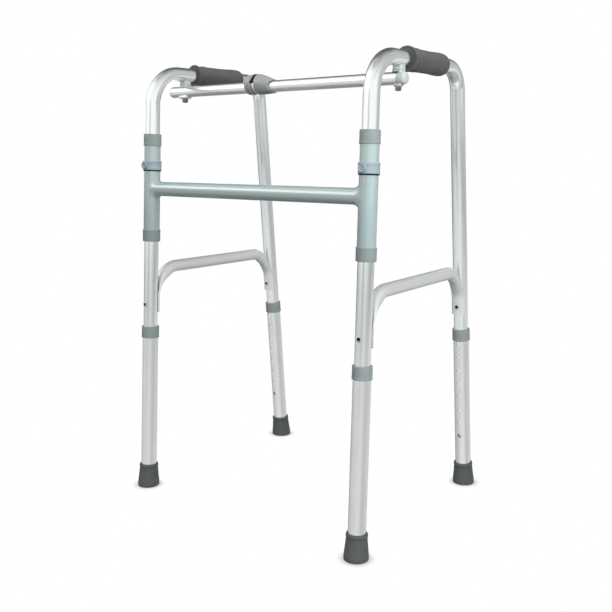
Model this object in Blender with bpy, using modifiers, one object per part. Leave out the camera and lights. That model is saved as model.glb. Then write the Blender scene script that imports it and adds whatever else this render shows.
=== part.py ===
"""A folding walking frame with height-adjustable legs, in metres, +Z up.

The walker stands on the floor at Z = 0 and faces -Y: its crossbar is at the front, and the
user stands between the two side frames. The origin is on the floor, midway between the bar's
left end and the right front foot across the walker, and midway between its front and rear feet.
Everything is built in the front frame's own axes, in which the front legs stand straight up,
and one empty leans those axes over to the walker's real stance.
"""

import math

import bmesh
import bpy
from mathutils import Matrix, Vector

# Stance of the walker
AXIS_SPACING = 0.4736
FRONT_LEAN = math.radians(2.53)
TOE_IN = math.radians(1.94)
HANDLE_HEIGHT = 0.7630
REAR_LEG_AT_FLOOR = 0.3754
REAR_LEG_SLOPE = 0.1305

# Tubes
TUBE_RADIUS = 0.0127
TUBE_WALL = 0.0012
LOWER_TUBE_WALL = 0.0010
SLEEVE_WALL = 0.0014
BAR_RADIUS = 0.0100
BRACE_RADIUS = 0.0108
CROSSBAR_RADIUS = 0.0127
FRONT_BEND = 0.060
REAR_BEND = 0.040
BRACE_FRONT_BEND = 0.036
BRACE_REAR_BEND = 0.028

# Clearances
FIT_GAP = 0.0003
SLIDING_GAP = 0.0004
BORE_GAP = 0.00035

# Front frame, measured down the front legs from the handle's bend
SLEEVE_BELOW_BEND = 0.0505
SLEEVE_LENGTH = 0.1945
CROSSBAR_BELOW_SLEEVE_TOP = 0.0985
RING_BELOW_SLEEVE_TOP = 0.0565
SLEEVE_COLLAR_HEIGHT = 0.0210
SLEEVE_COLLAR_WALL = 0.0013
COLLAR_LIP = 0.0040
WELD_LENGTH = 0.0130
WELD_RISE = 0.0014
LOCK_RING_WIDTH = 0.0165
LOCK_RING_WALL = 0.0019
LOCK_RING_OPENING = 0.0180
PEG_RADIUS = 0.0022
PEG_KNOB_RADIUS = 0.0050
PEG_KNOB_LENGTH = 0.0035

# Adjustable legs, measured down each leg from the brace's end
COLLAR_BELOW_BRACE = 0.0260
LEG_COLLAR_HEIGHT = 0.0210
LEG_COLLAR_WALL = 0.0016
HOLE_PITCH = 0.0254
HOLE_RADIUS = 0.0036
FIRST_HOLE_DROP = 0.0050
LOWEST_HOLE_ROOM = 0.0560
TUBE_PAST_BUTTON = 0.0220
BUTTON_LENGTH = 0.0046
LEAF_THICKNESS = 0.0008
LEAF_WIDTH = 0.0080
LEAF_LENGTH = 0.0350
LEAF_DROP = 0.0120

# Feet
FOOT_HEIGHT = 0.0410
FOOT_FLOOR = 0.0110
FOOT_BOTTOM_RADIUS = 0.0196
FOOT_TOP_RADIUS = 0.0166
FOOT_RIM_RADIUS = 0.0173
FOOT_RIM_HEIGHT = 0.0055
FOOT_SKIRT = 0.0080

# Side brace and its rivets
BRACE_BELOW_SLEEVE = 0.0515
BRACE_RISE = 0.0035
FRONT_RIVET_DROP = 0.0645
REAR_RIVET_DROP = 0.0650
BRACE_TAIL = 0.0150
PRESSED_WRAP = math.radians(57)
PRESSED_THICKNESS = 0.0026
PRESSED_BEND_SHARE = 0.55
RIVET_RADIUS = 0.0024
RIVET_HEAD_RADIUS = 0.0046
RIVET_HEAD_HEIGHT = 0.0020

# Grips, measured along the handle from the front leg
GRIP_FRONT = 0.0975
GRIP_REAR = 0.2165
GRIP_MOUTH_RADIUS = 0.0150
GRIP_FLANGE_RADIUS = 0.0202
GRIP_FLANGE_END = 0.0225
GRIP_RING_RADIUS = 0.0187
GRIP_RING_END = 0.0330
GRIP_WAIST_RADIUS = 0.0179
GRIP_SWELL_RADIUS = 0.0188
GRIP_END_RADIUS = 0.0152
GRIP_STEP = 0.0015

# Folding upper bar and its pivots
BAR_BELOW_HANDLE = 0.0312
PIVOT_SETBACK = 0.0770
LEFT_OVERHANG = 0.0310
RIGHT_OVERHANG = 0.0100
PLUG_DOME = 0.0050
PLUG_SPIGOT = 0.0050
BRACKET_LENGTH = 0.0190
BRACKET_WIDTH = 0.0165
BRACKET_CORNER = 0.0025
BRACKET_WRAP = 0.0009
BRACKET_SEAM = 0.0020
BAR_SADDLE_DROP = 0.0038
BOLT_RADIUS = 0.0030
BOLT_HEAD_RADIUS = 0.0050
BOLT_HEAD_HEIGHT = 0.0030
NUT_RADIUS = 0.0049
NUT_HEIGHT = 0.0060
BOLT_TAIL = 0.0015
WASHER_LENGTH = 0.0240
WASHER_WIDTH = 0.0150
WASHER_THICKNESS = 0.0032
WASHER_WRAP = 0.0020
WASHER_TAPER = 0.60

# Hub of the upper bar
HUB_FROM_LEFT_PIVOT = 0.1800
HUB_RISE = 0.0048
HUB_RADIUS = 0.0174
HUB_RING_WIDTH = 0.0123
HUB_NECK = 0.0050
HUB_NECK_RADIUS = 0.0160
HUB_CORE_LENGTH = 0.0095
HUB_FACE = 0.0030
HUB_CHAMFER = 0.0020
HUB_SLEEVE_RADIUS = 0.0179
HUB_SLEEVE_LENGTH = 0.0337
HUB_SLEEVE_TIP_RADIUS = 0.0119
HUB_NOTCH_RADIUS = 0.0095
HUB_NOTCH_DEPTH = 0.0055
HUB_WINDOW = (0.0076, 0.0200, 0.0150)
HUB_WINDOW_TURN = math.radians(50)
KNUCKLE_RADIUS = 0.0040
KNUCKLE_HEIGHT = 0.0080
HINGE_PIN_RADIUS = 0.0018

# Facets and roundings
ROUND_PROFILE = 0.5
TUBE_SIDES = 24
BAR_SIDES = 20
SMALL_SIDES = 12
BRACE_SIDES = 16
BEND_STEPS = 8

# Sizes that follow from the ones above
LOWER_BORE = TUBE_RADIUS + SLIDING_GAP
LOWER_RADIUS = LOWER_BORE + LOWER_TUBE_WALL
SLEEVE_RADIUS = LOWER_BORE + SLEEVE_WALL
SLEEVE_TOP = HANDLE_HEIGHT - FRONT_BEND - SLEEVE_BELOW_BEND
SLEEVE_BOTTOM = SLEEVE_TOP - SLEEVE_LENGTH
CROSSBAR_HEIGHT = SLEEVE_TOP - CROSSBAR_BELOW_SLEEVE_TOP
LOCK_RING_HEIGHT = SLEEVE_TOP - RING_BELOW_SLEEVE_TOP
BRACE_FRONT_HEIGHT = SLEEVE_BOTTOM - BRACE_BELOW_SLEEVE
BRACE_REAR_HEIGHT = BRACE_FRONT_HEIGHT + BRACE_RISE
FRONT_RIVET_HEIGHT = BRACE_FRONT_HEIGHT - FRONT_RIVET_DROP
REAR_RIVET_HEIGHT = BRACE_REAR_HEIGHT - REAR_RIVET_DROP
BRACE_END = min(FRONT_RIVET_HEIGHT, REAR_RIVET_HEIGHT) - BRACE_TAIL
LEG_COLLAR_TOP = BRACE_END - COLLAR_BELOW_BRACE
LEG_COLLAR_BOTTOM = LEG_COLLAR_TOP - LEG_COLLAR_HEIGHT
FIRST_HOLE = LEG_COLLAR_BOTTOM - FIRST_HOLE_DROP
HOLE_COUNT = 1 + int((FIRST_HOLE - FOOT_HEIGHT - LOWEST_HOLE_ROOM) / HOLE_PITCH)
BUTTON_HEIGHT = FIRST_HOLE - (HOLE_COUNT - 1) * HOLE_PITCH
UPPER_TUBE_END = BUTTON_HEIGHT - TUBE_PAST_BUTTON
RING_BORE = SLEEVE_RADIUS + FIT_GAP
RING_OUTSIDE = RING_BORE + LOCK_RING_WALL
HINGE_SETBACK = HUB_SLEEVE_RADIUS + KNUCKLE_RADIUS - FIT_GAP
BRACE_OFFSET = TUBE_RADIUS + FIT_GAP + BRACE_RADIUS
PRESSED_INSIDE = TUBE_RADIUS + 2 * FIT_GAP
PRESSED_OUTSIDE = PRESSED_INSIDE + PRESSED_THICKNESS
SEAM_LEVEL = BAR_RADIUS + BRACKET_SEAM
BAR_REACH = AXIS_SPACING / 2 - PIVOT_SETBACK * math.sin(TOE_IN) + LEFT_OVERHANG + FIT_GAP + PLUG_DOME
FOOT_REACH = AXIS_SPACING / 2 + FOOT_BOTTOM_RADIUS
ALONG_X = Matrix.Rotation(math.radians(90), 4, "Y")


def collection(name):
    """Adds a new collection to the scene."""
    made = bpy.data.collections.new(name)
    bpy.context.scene.collection.children.link(made)
    return made


for old_object in list(bpy.data.objects):
    bpy.data.objects.remove(old_object, do_unlink=True)
PARTS = collection("walker")
CUTTERS = collection("cutters")


def material(name, colour, roughness, metallic):
    """A plain material with a colour, a roughness and a metallic value."""
    made = bpy.data.materials.new(name)
    made.use_nodes = True
    shader = made.node_tree.nodes["Principled BSDF"]
    shader.inputs["Base Color"].default_value = (*colour, 1.0)
    shader.inputs["Roughness"].default_value = roughness
    shader.inputs["Metallic"].default_value = metallic
    made.diffuse_color = (*colour, 1.0)
    return made


ALUMINIUM = material("satin_aluminium", (0.72, 0.73, 0.74), 0.35, 0.9)
PAINT = material("pale_green_paint", (0.48, 0.60, 0.59), 0.35, 0.2)
COLLAR_PLASTIC = material("grey_green_plastic", (0.27, 0.33, 0.32), 0.5, 0.0)
RING_PLASTIC = material("blue_grey_plastic", (0.33, 0.42, 0.50), 0.45, 0.0)
GRIP_RUBBER = material("dark_grey_grip", (0.07, 0.07, 0.075), 0.6, 0.0)
FOOT_RUBBER = material("dark_grey_rubber", (0.09, 0.10, 0.10), 0.7, 0.0)
HUB_METAL = material("mid_grey_casting", (0.30, 0.31, 0.33), 0.4, 0.6)
STEEL = material("dark_steel", (0.10, 0.10, 0.11), 0.4, 0.8)
RIVET_METAL = material("bright_steel", (0.40, 0.41, 0.42), 0.3, 0.9)


def at(x, y, z):
    """A placement that only moves."""
    return Matrix.Translation((x, y, z))


def facing(origin, direction, side=(1.0, 0.0, 0.0)):
    """A placement whose Z runs along a direction, with its X as near as possible to side."""
    z = Vector(direction).normalized()
    x = Vector(side)
    x = (x - z * x.dot(z)).normalized()
    y = z.cross(x)
    place = Matrix((x, y, z)).transposed().to_4x4()
    place.translation = Vector(origin)
    return place


def frame_empty(name, parent, place):
    """An empty that carries the pieces of a body, placed in its parent's axes."""
    made = bpy.data.objects.new(name, None)
    made.empty_display_size = 0.03
    PARTS.objects.link(made)
    made.parent = parent
    made.matrix_local = place
    return made


def add_object(name, mesh, parent, place, finish):
    """Links a finished piece, or a cutter where it has no finish."""
    made = bpy.data.objects.new(name, mesh)
    if finish is None:
        CUTTERS.objects.link(made)
        made.hide_render = True
        made.display_type = "WIRE"
    else:
        PARTS.objects.link(made)
        mesh.materials.append(finish)
    made.parent = parent
    made.matrix_local = place
    return made


def smooth(mesh):
    """Smooth shading on the round faces, with the edges between flat ones kept sharp."""
    mesh.shade_smooth()
    mesh.set_sharp_from_angle(angle=math.radians(35))


def mesh_of(name, bm):
    """A mesh from a bmesh, which is freed."""
    mesh = bpy.data.meshes.new(name)
    bm.to_mesh(mesh)
    bm.free()
    smooth(mesh)
    return mesh


def turned(name, profile, parent, place, finish, closed=False, sides=TUBE_SIDES):
    """Turns a profile of (radius, height) points round Z; its outer side runs top to bottom."""
    mesh = bpy.data.meshes.new(name)
    points = [(radius, 0.0, height) for radius, height in profile]
    edges = [(i, i + 1) for i in range(len(points) - 1)]
    if closed:
        edges.append((len(points) - 1, 0))
    mesh.from_pydata(points, edges, [])
    made = add_object(name, mesh, parent, place, finish)
    screw = made.modifiers.new("turn", "SCREW")
    screw.axis = "Z"
    screw.angle = math.tau
    screw.steps = sides
    screw.render_steps = sides
    screw.use_merge_vertices = True
    screw.merge_threshold = 0.00001
    screw.use_smooth_shade = True
    return made


def pipe(name, inner, outer, bottom, top, parent, place, finish, sides=TUBE_SIDES):
    """A straight tube, as a turned wall."""
    wall = [(outer, top), (outer, bottom), (inner, bottom), (inner, top)]
    return turned(name, wall, parent, place, finish, closed=True, sides=sides)


def rod(name, radius, bottom, top, parent, place, finish=None, sides=SMALL_SIDES):
    """A cylinder between two heights on Z; a cutter where it has no finish."""
    bm = bmesh.new()
    bmesh.ops.create_cone(bm, cap_ends=True, segments=sides, radius1=radius, radius2=radius,
                          depth=top - bottom, matrix=at(0.0, 0.0, (top + bottom) / 2))
    return add_object(name, mesh_of(name, bm), parent, place, finish)


def block(name, size, parent, place, finish=None, corner=0.0):
    """A box round its placement, with its upright corners rounded where a radius is given."""
    bm = bmesh.new()
    bmesh.ops.create_cube(bm, size=1.0, matrix=Matrix.Diagonal((*size, 1.0)))
    if corner:
        upright = [e for e in bm.edges if abs(e.verts[0].co.z - e.verts[1].co.z) > size[2] / 2]
        bmesh.ops.bevel(bm, geom=upright, offset=corner, segments=3, profile=ROUND_PROFILE, affect="EDGES")
    return add_object(name, mesh_of(name, bm), parent, place, finish)


def combine(target, operation, others):
    """Cuts other shapes out of the target, or joins them to it, all in one go."""
    group = bpy.data.collections.new(f"{target.name}_{operation.lower()}")
    CUTTERS.children.link(group)
    for other in others:
        group.objects.link(other)
    boolean = target.modifiers.new(group.name, "BOOLEAN")
    boolean.operation = operation
    boolean.solver = "EXACT"
    boolean.operand_type = "COLLECTION"
    boolean.collection = group


def cut(target, *cutters):
    """Cuts the cutters out of the target."""
    combine(target, "DIFFERENCE", cutters)


def join(target, *others):
    """Makes the target and the others one body."""
    combine(target, "UNION", others)


def rounded_path(corners, radii):
    """A path through corner points, with each inner corner turned into an arc of its radius."""
    points = [Vector(corners[0])]
    for before, corner, after, radius in zip(corners, corners[1:], corners[2:], radii):
        towards = (before - corner).normalized()
        away = (after - corner).normalized()
        half = towards.angle(away) / 2
        centre = corner + (towards + away).normalized() * (radius / math.sin(half))
        start = corner + towards * (radius / math.tan(half)) - centre
        normal = towards.cross(away).normalized()
        sweep = math.pi - 2 * half
        for i in range(BEND_STEPS + 1):
            points.append(centre + Matrix.Rotation(-sweep * i / BEND_STEPS, 3, normal) @ start)
    points.append(Vector(corners[-1]))
    return points


def swept(name, points, radius, parent, place, finish=None, wall=None):
    """A round rod along a path, or a tube with a wall: a bevelled curve turned into a mesh."""
    curve = bpy.data.curves.new(name, "CURVE")
    curve.dimensions = "3D"
    curve.bevel_depth = radius
    curve.bevel_resolution = (TUBE_SIDES - 4) // 2
    curve.use_fill_caps = wall is None
    spline = curve.splines.new("POLY")
    spline.points.add(len(points) - 1)
    for target, point in zip(spline.points, points):
        target.co = (*point, 1.0)
    guide = bpy.data.objects.new(name + "_curve", curve)
    bpy.context.scene.collection.objects.link(guide)
    depsgraph = bpy.context.evaluated_depsgraph_get()
    mesh = bpy.data.meshes.new_from_object(guide.evaluated_get(depsgraph))
    bpy.data.objects.remove(guide, do_unlink=True)
    mesh.materials.clear()
    bm = bmesh.new()
    bm.from_mesh(mesh)
    bmesh.ops.remove_doubles(bm, verts=bm.verts, dist=0.00001)
    made = add_object(name, mesh_of(name, bm), parent, place, finish)
    if wall is not None:
        solidify = made.modifiers.new("wall", "SOLIDIFY")
        solidify.thickness = wall
        solidify.offset = -1.0
        solidify.use_even_offset = True
    return made


def lofted(name, rings, parent, place, finish):
    """A closed skin through rings of points, for a section that changes along its way."""
    bm = bmesh.new()
    rows = [[bm.verts.new(point) for point in ring] for ring in rings]
    for row, following in zip(rows, rows[1:]):
        for i in range(len(row)):
            j = (i + 1) % len(row)
            bm.faces.new((row[i], row[j], following[j], following[i]))
    bm.faces.new(rows[0])
    bm.faces.new(rows[-1])
    bmesh.ops.recalc_face_normals(bm, faces=bm.faces)
    return add_object(name, mesh_of(name, bm), parent, place, finish)


def side_point(setback, height):
    """A point of the side frame: its level distance behind the front leg and its height."""
    y = setback * math.cos(FRONT_LEAN)
    z = height / math.cos(FRONT_LEAN) + setback * math.sin(FRONT_LEAN)
    return Vector((0.0, y, z))


def rear_leg_point(height):
    """A point of the rear leg's middle line at a height."""
    return side_point(REAR_LEG_AT_FLOOR - REAR_LEG_SLOPE * height, height)


FRONT_UP = Vector((0.0, 0.0, 1.0))
REAR_FOOT = rear_leg_point(0.0)
REAR_UP = (rear_leg_point(1.0) - REAR_FOOT).normalized()
REAR_FORWARD = Vector((0.0, -REAR_UP.z, REAR_UP.y))
HANDLE_BACK = Vector((0.0, math.cos(FRONT_LEAN), math.sin(FRONT_LEAN)))
FRONT_TOP = side_point(0.0, HANDLE_HEIGHT)
REAR_TOP = rear_leg_point(HANDLE_HEIGHT)
BAR_LEVEL = side_point(PIVOT_SETBACK, HANDLE_HEIGHT - BAR_BELOW_HANDLE).z
HANDLE_OVER_PIVOT = side_point(PIVOT_SETBACK, HANDLE_HEIGHT).z
SIDE_PATH = rounded_path(
    [FRONT_UP * UPPER_TUBE_END, FRONT_TOP, REAR_TOP, REAR_FOOT + REAR_UP * UPPER_TUBE_END],
    [FRONT_BEND, REAR_BEND])

# The empties that carry the bodies, each on its joint's axis
WALKER = frame_empty(
    "walker_axes", None,
    at((BAR_REACH - FOOT_REACH) / 2, -REAR_LEG_AT_FLOOR * math.cos(TOE_IN) / 2, 0.0)
    @ Matrix.Rotation(-FRONT_LEAN, 4, "X"))
SIDES = {"left": -1, "right": 1}
SIDE_AXES = {
    name: frame_empty(
        name + "_side_axis", WALKER,
        at(sign * AXIS_SPACING / 2, 0.0, 0.0) @ Matrix.Rotation(sign * TOE_IN, 4, "Z"))
    for name, sign in SIDES.items()}


def pivot_point(sign):
    """Where a bar pivot stands in the front frame's axes, at the bar's level."""
    x = sign * (AXIS_SPACING / 2 - PIVOT_SETBACK * math.sin(TOE_IN))
    return Vector((x, PIVOT_SETBACK * math.cos(TOE_IN), BAR_LEVEL))


LEFT_PIVOT = pivot_point(-1)
RIGHT_PIVOT = pivot_point(1)
HUB_POINT = LEFT_PIVOT + Vector((HUB_FROM_LEFT_PIVOT, 0.0, 0.0))
HINGE_POINT = HUB_POINT + Vector((0.0, HINGE_SETBACK, HUB_RISE))
RIGHT_BAR_AXIS = frame_empty("right_bar_axis", WALKER, at(*RIGHT_PIVOT))
LEFT_BAR_AXIS = frame_empty("left_bar_axis", WALKER, at(*HINGE_POINT))


def from_axis(body, point):
    """The placement of a point of the front frame's axes in a bar body's own axes."""
    return at(*(point - body.matrix_local.translation))


def collar_profile(radius, wall, bottom, top, lip_on_top):
    """A cap collar: a sleeve over a tube's end, with a lip that guides the inner tube."""
    guide = TUBE_RADIUS + BORE_GAP
    fit = radius + FIT_GAP
    outer = fit + wall
    if lip_on_top:
        inside = [(fit, bottom), (fit, top - COLLAR_LIP), (guide, top - COLLAR_LIP), (guide, top)]
    else:
        inside = [(guide, bottom), (guide, bottom + COLLAR_LIP), (fit, bottom + COLLAR_LIP), (fit, top)]
    edge = wall / 3
    outside = [(outer - edge, top), (outer, top - edge), (outer, bottom + edge), (outer - edge, bottom)]
    return outside + inside


def front_frame():
    """The crossbar and, on each front leg, a sleeve with its two collars and its lock ring."""
    leg_x = AXIS_SPACING / 2
    skin = CROSSBAR_RADIUS
    toe = leg_x - SLEEVE_RADIUS - WELD_LENGTH
    weld = leg_x - SLEEVE_RADIUS
    mid_weld = (toe + 2 * weld) / 3
    bore = CROSSBAR_RADIUS - TUBE_WALL
    outside = [(skin + WELD_RISE, leg_x), (skin + WELD_RISE, weld), (skin + WELD_RISE / 3, mid_weld),
               (skin, toe), (skin, -toe), (skin + WELD_RISE / 3, -mid_weld),
               (skin + WELD_RISE, -weld), (skin + WELD_RISE, -leg_x)]
    crossbar = turned("crossbar", outside + [(bore, -leg_x), (bore, leg_x)], WALKER,
                      at(0.0, 0.0, CROSSBAR_HEIGHT) @ ALONG_X, PAINT, closed=True)
    sleeve_spaces = []
    for name, sign in SIDES.items():
        leg = at(sign * leg_x, 0.0, 0.0)
        half = CROSSBAR_HEIGHT - SLEEVE_BOTTOM
        sleeve_spaces.append(rod(name + "_sleeve_space", SLEEVE_RADIUS + FIT_GAP,
                                 CROSSBAR_HEIGHT - half / 2, CROSSBAR_HEIGHT + half / 2,
                                 WALKER, leg, sides=2 * TUBE_SIDES))
        sleeve = pipe(name + "_sleeve", LOWER_BORE, SLEEVE_RADIUS,
                      SLEEVE_BOTTOM + COLLAR_LIP + FIT_GAP, SLEEVE_TOP - COLLAR_LIP - FIT_GAP,
                      WALKER, leg, PAINT)
        turned(name + "_upper_collar",
               collar_profile(SLEEVE_RADIUS, SLEEVE_COLLAR_WALL, SLEEVE_TOP - SLEEVE_COLLAR_HEIGHT,
                              SLEEVE_TOP, True),
               WALKER, leg, COLLAR_PLASTIC, closed=True)
        turned(name + "_lower_collar",
               collar_profile(SLEEVE_RADIUS, SLEEVE_COLLAR_WALL, SLEEVE_BOTTOM,
                              SLEEVE_BOTTOM + SLEEVE_COLLAR_HEIGHT, False),
               WALKER, leg, COLLAR_PLASTIC, closed=True)
        ring_place = leg @ at(0.0, 0.0, LOCK_RING_HEIGHT)
        ring = pipe(name + "_lock_ring", RING_BORE, RING_OUTSIDE, -LOCK_RING_WIDTH / 2,
                    LOCK_RING_WIDTH / 2, WALKER, ring_place, RING_PLASTIC)
        opening = block(name + "_ring_opening",
                        (LOCK_RING_OPENING, 2 * RING_OUTSIDE, 2 * LOCK_RING_WIDTH), WALKER,
                        ring_place @ at(0.0, RING_OUTSIDE, 0.0))
        forward = ring_place @ facing((0.0, 0.0, 0.0), (0.0, -1.0, 0.0))
        peg_way = rod(name + "_peg_way", PEG_RADIUS + FIT_GAP, SLEEVE_RADIUS / 2, 2 * SLEEVE_RADIUS,
                      WALKER, forward)
        cut(ring, opening, peg_way)
        cut(sleeve, peg_way)
        knob = RING_OUTSIDE + FIT_GAP
        knob_top = knob + PEG_KNOB_LENGTH
        edge = PEG_KNOB_LENGTH / 3
        turned(name + "_lock_peg",
               [(0.0, knob_top), (PEG_KNOB_RADIUS - edge, knob_top), (PEG_KNOB_RADIUS, knob_top - edge),
                (PEG_KNOB_RADIUS, knob), (PEG_RADIUS, knob), (PEG_RADIUS, LOWER_BORE),
                (0.0, LOWER_BORE)],
               WALKER, forward, RING_PLASTIC, sides=SMALL_SIDES)
    cut(crossbar, *sleeve_spaces)


def pressed_section(foot, up, inward, height):
    """A ring of the brace's pressed end: a thin shell that hugs the front or back of a leg."""
    ring = []
    for i in range(BRACE_SIDES):
        turn = math.tau * (i + 0.5) / BRACE_SIDES
        reach = PRESSED_OUTSIDE if math.sin(turn) > 0.0 else PRESSED_INSIDE
        round_leg = PRESSED_WRAP * math.cos(turn)
        across = Vector((reach * math.sin(round_leg), 0.0, 0.0))
        ring.append(foot + up * height + inward * (reach * math.cos(round_leg)) + across)
    return ring


def brace_rings():
    """All the rings of a side brace, from its front tip over the level run to its rear tip."""
    front_corner = side_point(BRACE_OFFSET, BRACE_FRONT_HEIGHT)
    rear_corner = rear_leg_point(BRACE_REAR_HEIGHT) + REAR_FORWARD * BRACE_OFFSET
    path = rounded_path(
        [front_corner - FRONT_UP * 2 * BRACE_FRONT_BEND, front_corner, rear_corner,
         rear_corner - REAR_UP * 2 * BRACE_REAR_BEND],
        [BRACE_FRONT_BEND, BRACE_REAR_BEND])
    rings = []
    ends = ((0, Vector((0.0, 0.0, 0.0)), FRONT_UP, Vector((0.0, 1.0, 0.0))),
            (len(path) - 1, REAR_FOOT, REAR_UP, REAR_FORWARD))
    for i in range(1, len(path) - 1):
        ahead = (path[i + 1] - path[i - 1]).normalized()
        normal = Vector((0.0, ahead.z, -ahead.y))
        ring = []
        for j in range(BRACE_SIDES):
            turn = math.tau * (j + 0.5) / BRACE_SIDES
            across = Vector((BRACE_RADIUS * math.cos(turn), 0.0, 0.0))
            ring.append(path[i] + across + normal * (BRACE_RADIUS * math.sin(turn)))
        for end, foot, up, inward in ends:
            share = 1.0 - (abs(end - i) - 1) / (BEND_STEPS * PRESSED_BEND_SHARE)
            if share > 0.0:
                height = (path[i] - foot).dot(up)
                pressed = pressed_section(foot, up, inward, height)
                eased = share * share * (3.0 - 2.0 * share)
                ring = [a.lerp(b, eased) for a, b in zip(ring, pressed)]
        rings.append(ring)
    front_tail = [pressed_section(*ends[0][1:], height) for height in
                  (FRONT_RIVET_HEIGHT - BRACE_TAIL, FRONT_RIVET_HEIGHT + BRACE_TAIL)]
    rear_tail = [pressed_section(*ends[1][1:], height) for height in
                 (REAR_RIVET_HEIGHT + BRACE_TAIL, REAR_RIVET_HEIGHT - BRACE_TAIL)]
    return front_tail + rings + rear_tail


def rivet_profile():
    """A rivet's outline, from its head outside the leg to its head behind the pressed brace."""
    head = TUBE_RADIUS + FIT_GAP
    tail = PRESSED_OUTSIDE + FIT_GAP
    wide = RIVET_HEAD_RADIUS
    rise = RIVET_HEAD_HEIGHT
    return [(0.0, head + rise), (wide * 0.6, head + rise * 0.8), (wide, head), (RIVET_RADIUS, head),
            (RIVET_RADIUS, -tail), (wide, -tail), (wide * 0.6, -tail - rise * 0.8), (0.0, -tail - rise)]


def grip_profile():
    """A grip's outline round the handle, from its rear end to its flange and mouth in front."""
    length = GRIP_REAR - GRIP_FRONT
    step = GRIP_STEP
    return [(0.0, length), (GRIP_END_RADIUS, length), (GRIP_SWELL_RADIUS - step, length - step),
            (GRIP_SWELL_RADIUS, length - 3 * step), (GRIP_SWELL_RADIUS, length - 9 * step),
            (GRIP_WAIST_RADIUS, length * 0.65), (GRIP_WAIST_RADIUS, GRIP_RING_END + 2 * step),
            (GRIP_WAIST_RADIUS - step / 2, GRIP_RING_END + step), (GRIP_RING_RADIUS, GRIP_RING_END),
            (GRIP_RING_RADIUS, GRIP_FLANGE_END + 2 * step),
            (GRIP_WAIST_RADIUS - step / 2, GRIP_FLANGE_END + step),
            (GRIP_FLANGE_RADIUS - step / 2, GRIP_FLANGE_END),
            (GRIP_FLANGE_RADIUS, GRIP_FLANGE_END - step), (GRIP_FLANGE_RADIUS, GRIP_FLANGE_END / 2),
            (GRIP_FLANGE_RADIUS - step, GRIP_FLANGE_END / 4), (GRIP_MOUTH_RADIUS, 0.0), (0.0, 0.0)]


def side_frame(name):
    """A bent tube with its grip, its brace and rivets, its bar bracket and its leg buttons."""
    body = SIDE_AXES[name]
    still = Matrix()
    tube = swept(name + "_side_tube", SIDE_PATH, TUBE_RADIUS, body, still, ALUMINIUM, TUBE_WALL)
    tube_holes = []
    tube_space = swept(name + "_tube_space", SIDE_PATH, TUBE_RADIUS + FIT_GAP, body, still)
    grip_place = facing(side_point(GRIP_FRONT, HANDLE_HEIGHT), HANDLE_BACK)
    grip = turned(name + "_grip", grip_profile(), body, grip_place, GRIP_RUBBER)
    cut(grip, tube_space)

    brace = lofted(name + "_brace", brace_rings(), body, still, ALUMINIUM)
    legs = {"front": (Vector((0.0, 0.0, 0.0)), FRONT_UP, Vector((0.0, 1.0, 0.0)), FRONT_RIVET_HEIGHT),
            "rear": (REAR_FOOT, REAR_UP, REAR_FORWARD, REAR_RIVET_HEIGHT)}
    rivet_ways = []
    for leg, (foot, up, inward, rivet_height) in legs.items():
        rivet_place = facing(foot + up * rivet_height, -inward)
        turned(f"{name}_{leg}_rivet", rivet_profile(), body, rivet_place, RIVET_METAL, sides=SMALL_SIDES)
        rivet_way = rod(f"{name}_{leg}_rivet_way", RIVET_RADIUS + FIT_GAP, -2 * TUBE_RADIUS,
                        2 * TUBE_RADIUS, body, rivet_place)
        rivet_ways.append(rivet_way)
        tube_holes.append(leg_button(name, leg, body, foot, up, inward))
    cut(brace, *rivet_ways)
    tube_holes += rivet_ways
    tube_holes.append(bracket_and_bolt(name, body, tube_space))
    cut(tube, *tube_holes)


def leg_button(name, leg, body, foot, up, inward):
    """A snap button on its leaf, inside the leg tube; returns the cutter of its hole there."""
    place = facing(foot + up * BUTTON_HEIGHT, inward, side=up)
    radius = HOLE_RADIUS - FIT_GAP
    top = TUBE_RADIUS - FIT_GAP
    base = top - BUTTON_LENGTH
    edge = radius / 4
    button = turned(f"{name}_{leg}_button",
                    [(0.0, top), (radius - edge, top), (radius, top - edge), (radius, base), (0.0, base)],
                    body, place, RIVET_METAL, sides=SMALL_SIDES)
    slant = math.atan2(LEAF_DROP, LEAF_LENGTH)
    start = Vector((-radius, 0.0, base))
    centre = start + Vector((LEAF_LENGTH / 2, 0.0, -LEAF_DROP / 2 + LEAF_THICKNESS / 2))
    leaf = block(f"{name}_{leg}_leaf", (LEAF_LENGTH, LEAF_WIDTH, LEAF_THICKNESS), body,
                 place @ at(*centre) @ Matrix.Rotation(slant, 4, "Y"))
    join(button, leaf)
    return rod(f"{name}_{leg}_button_way", HOLE_RADIUS, TUBE_RADIUS / 2, 2 * TUBE_RADIUS, body, place)


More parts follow.
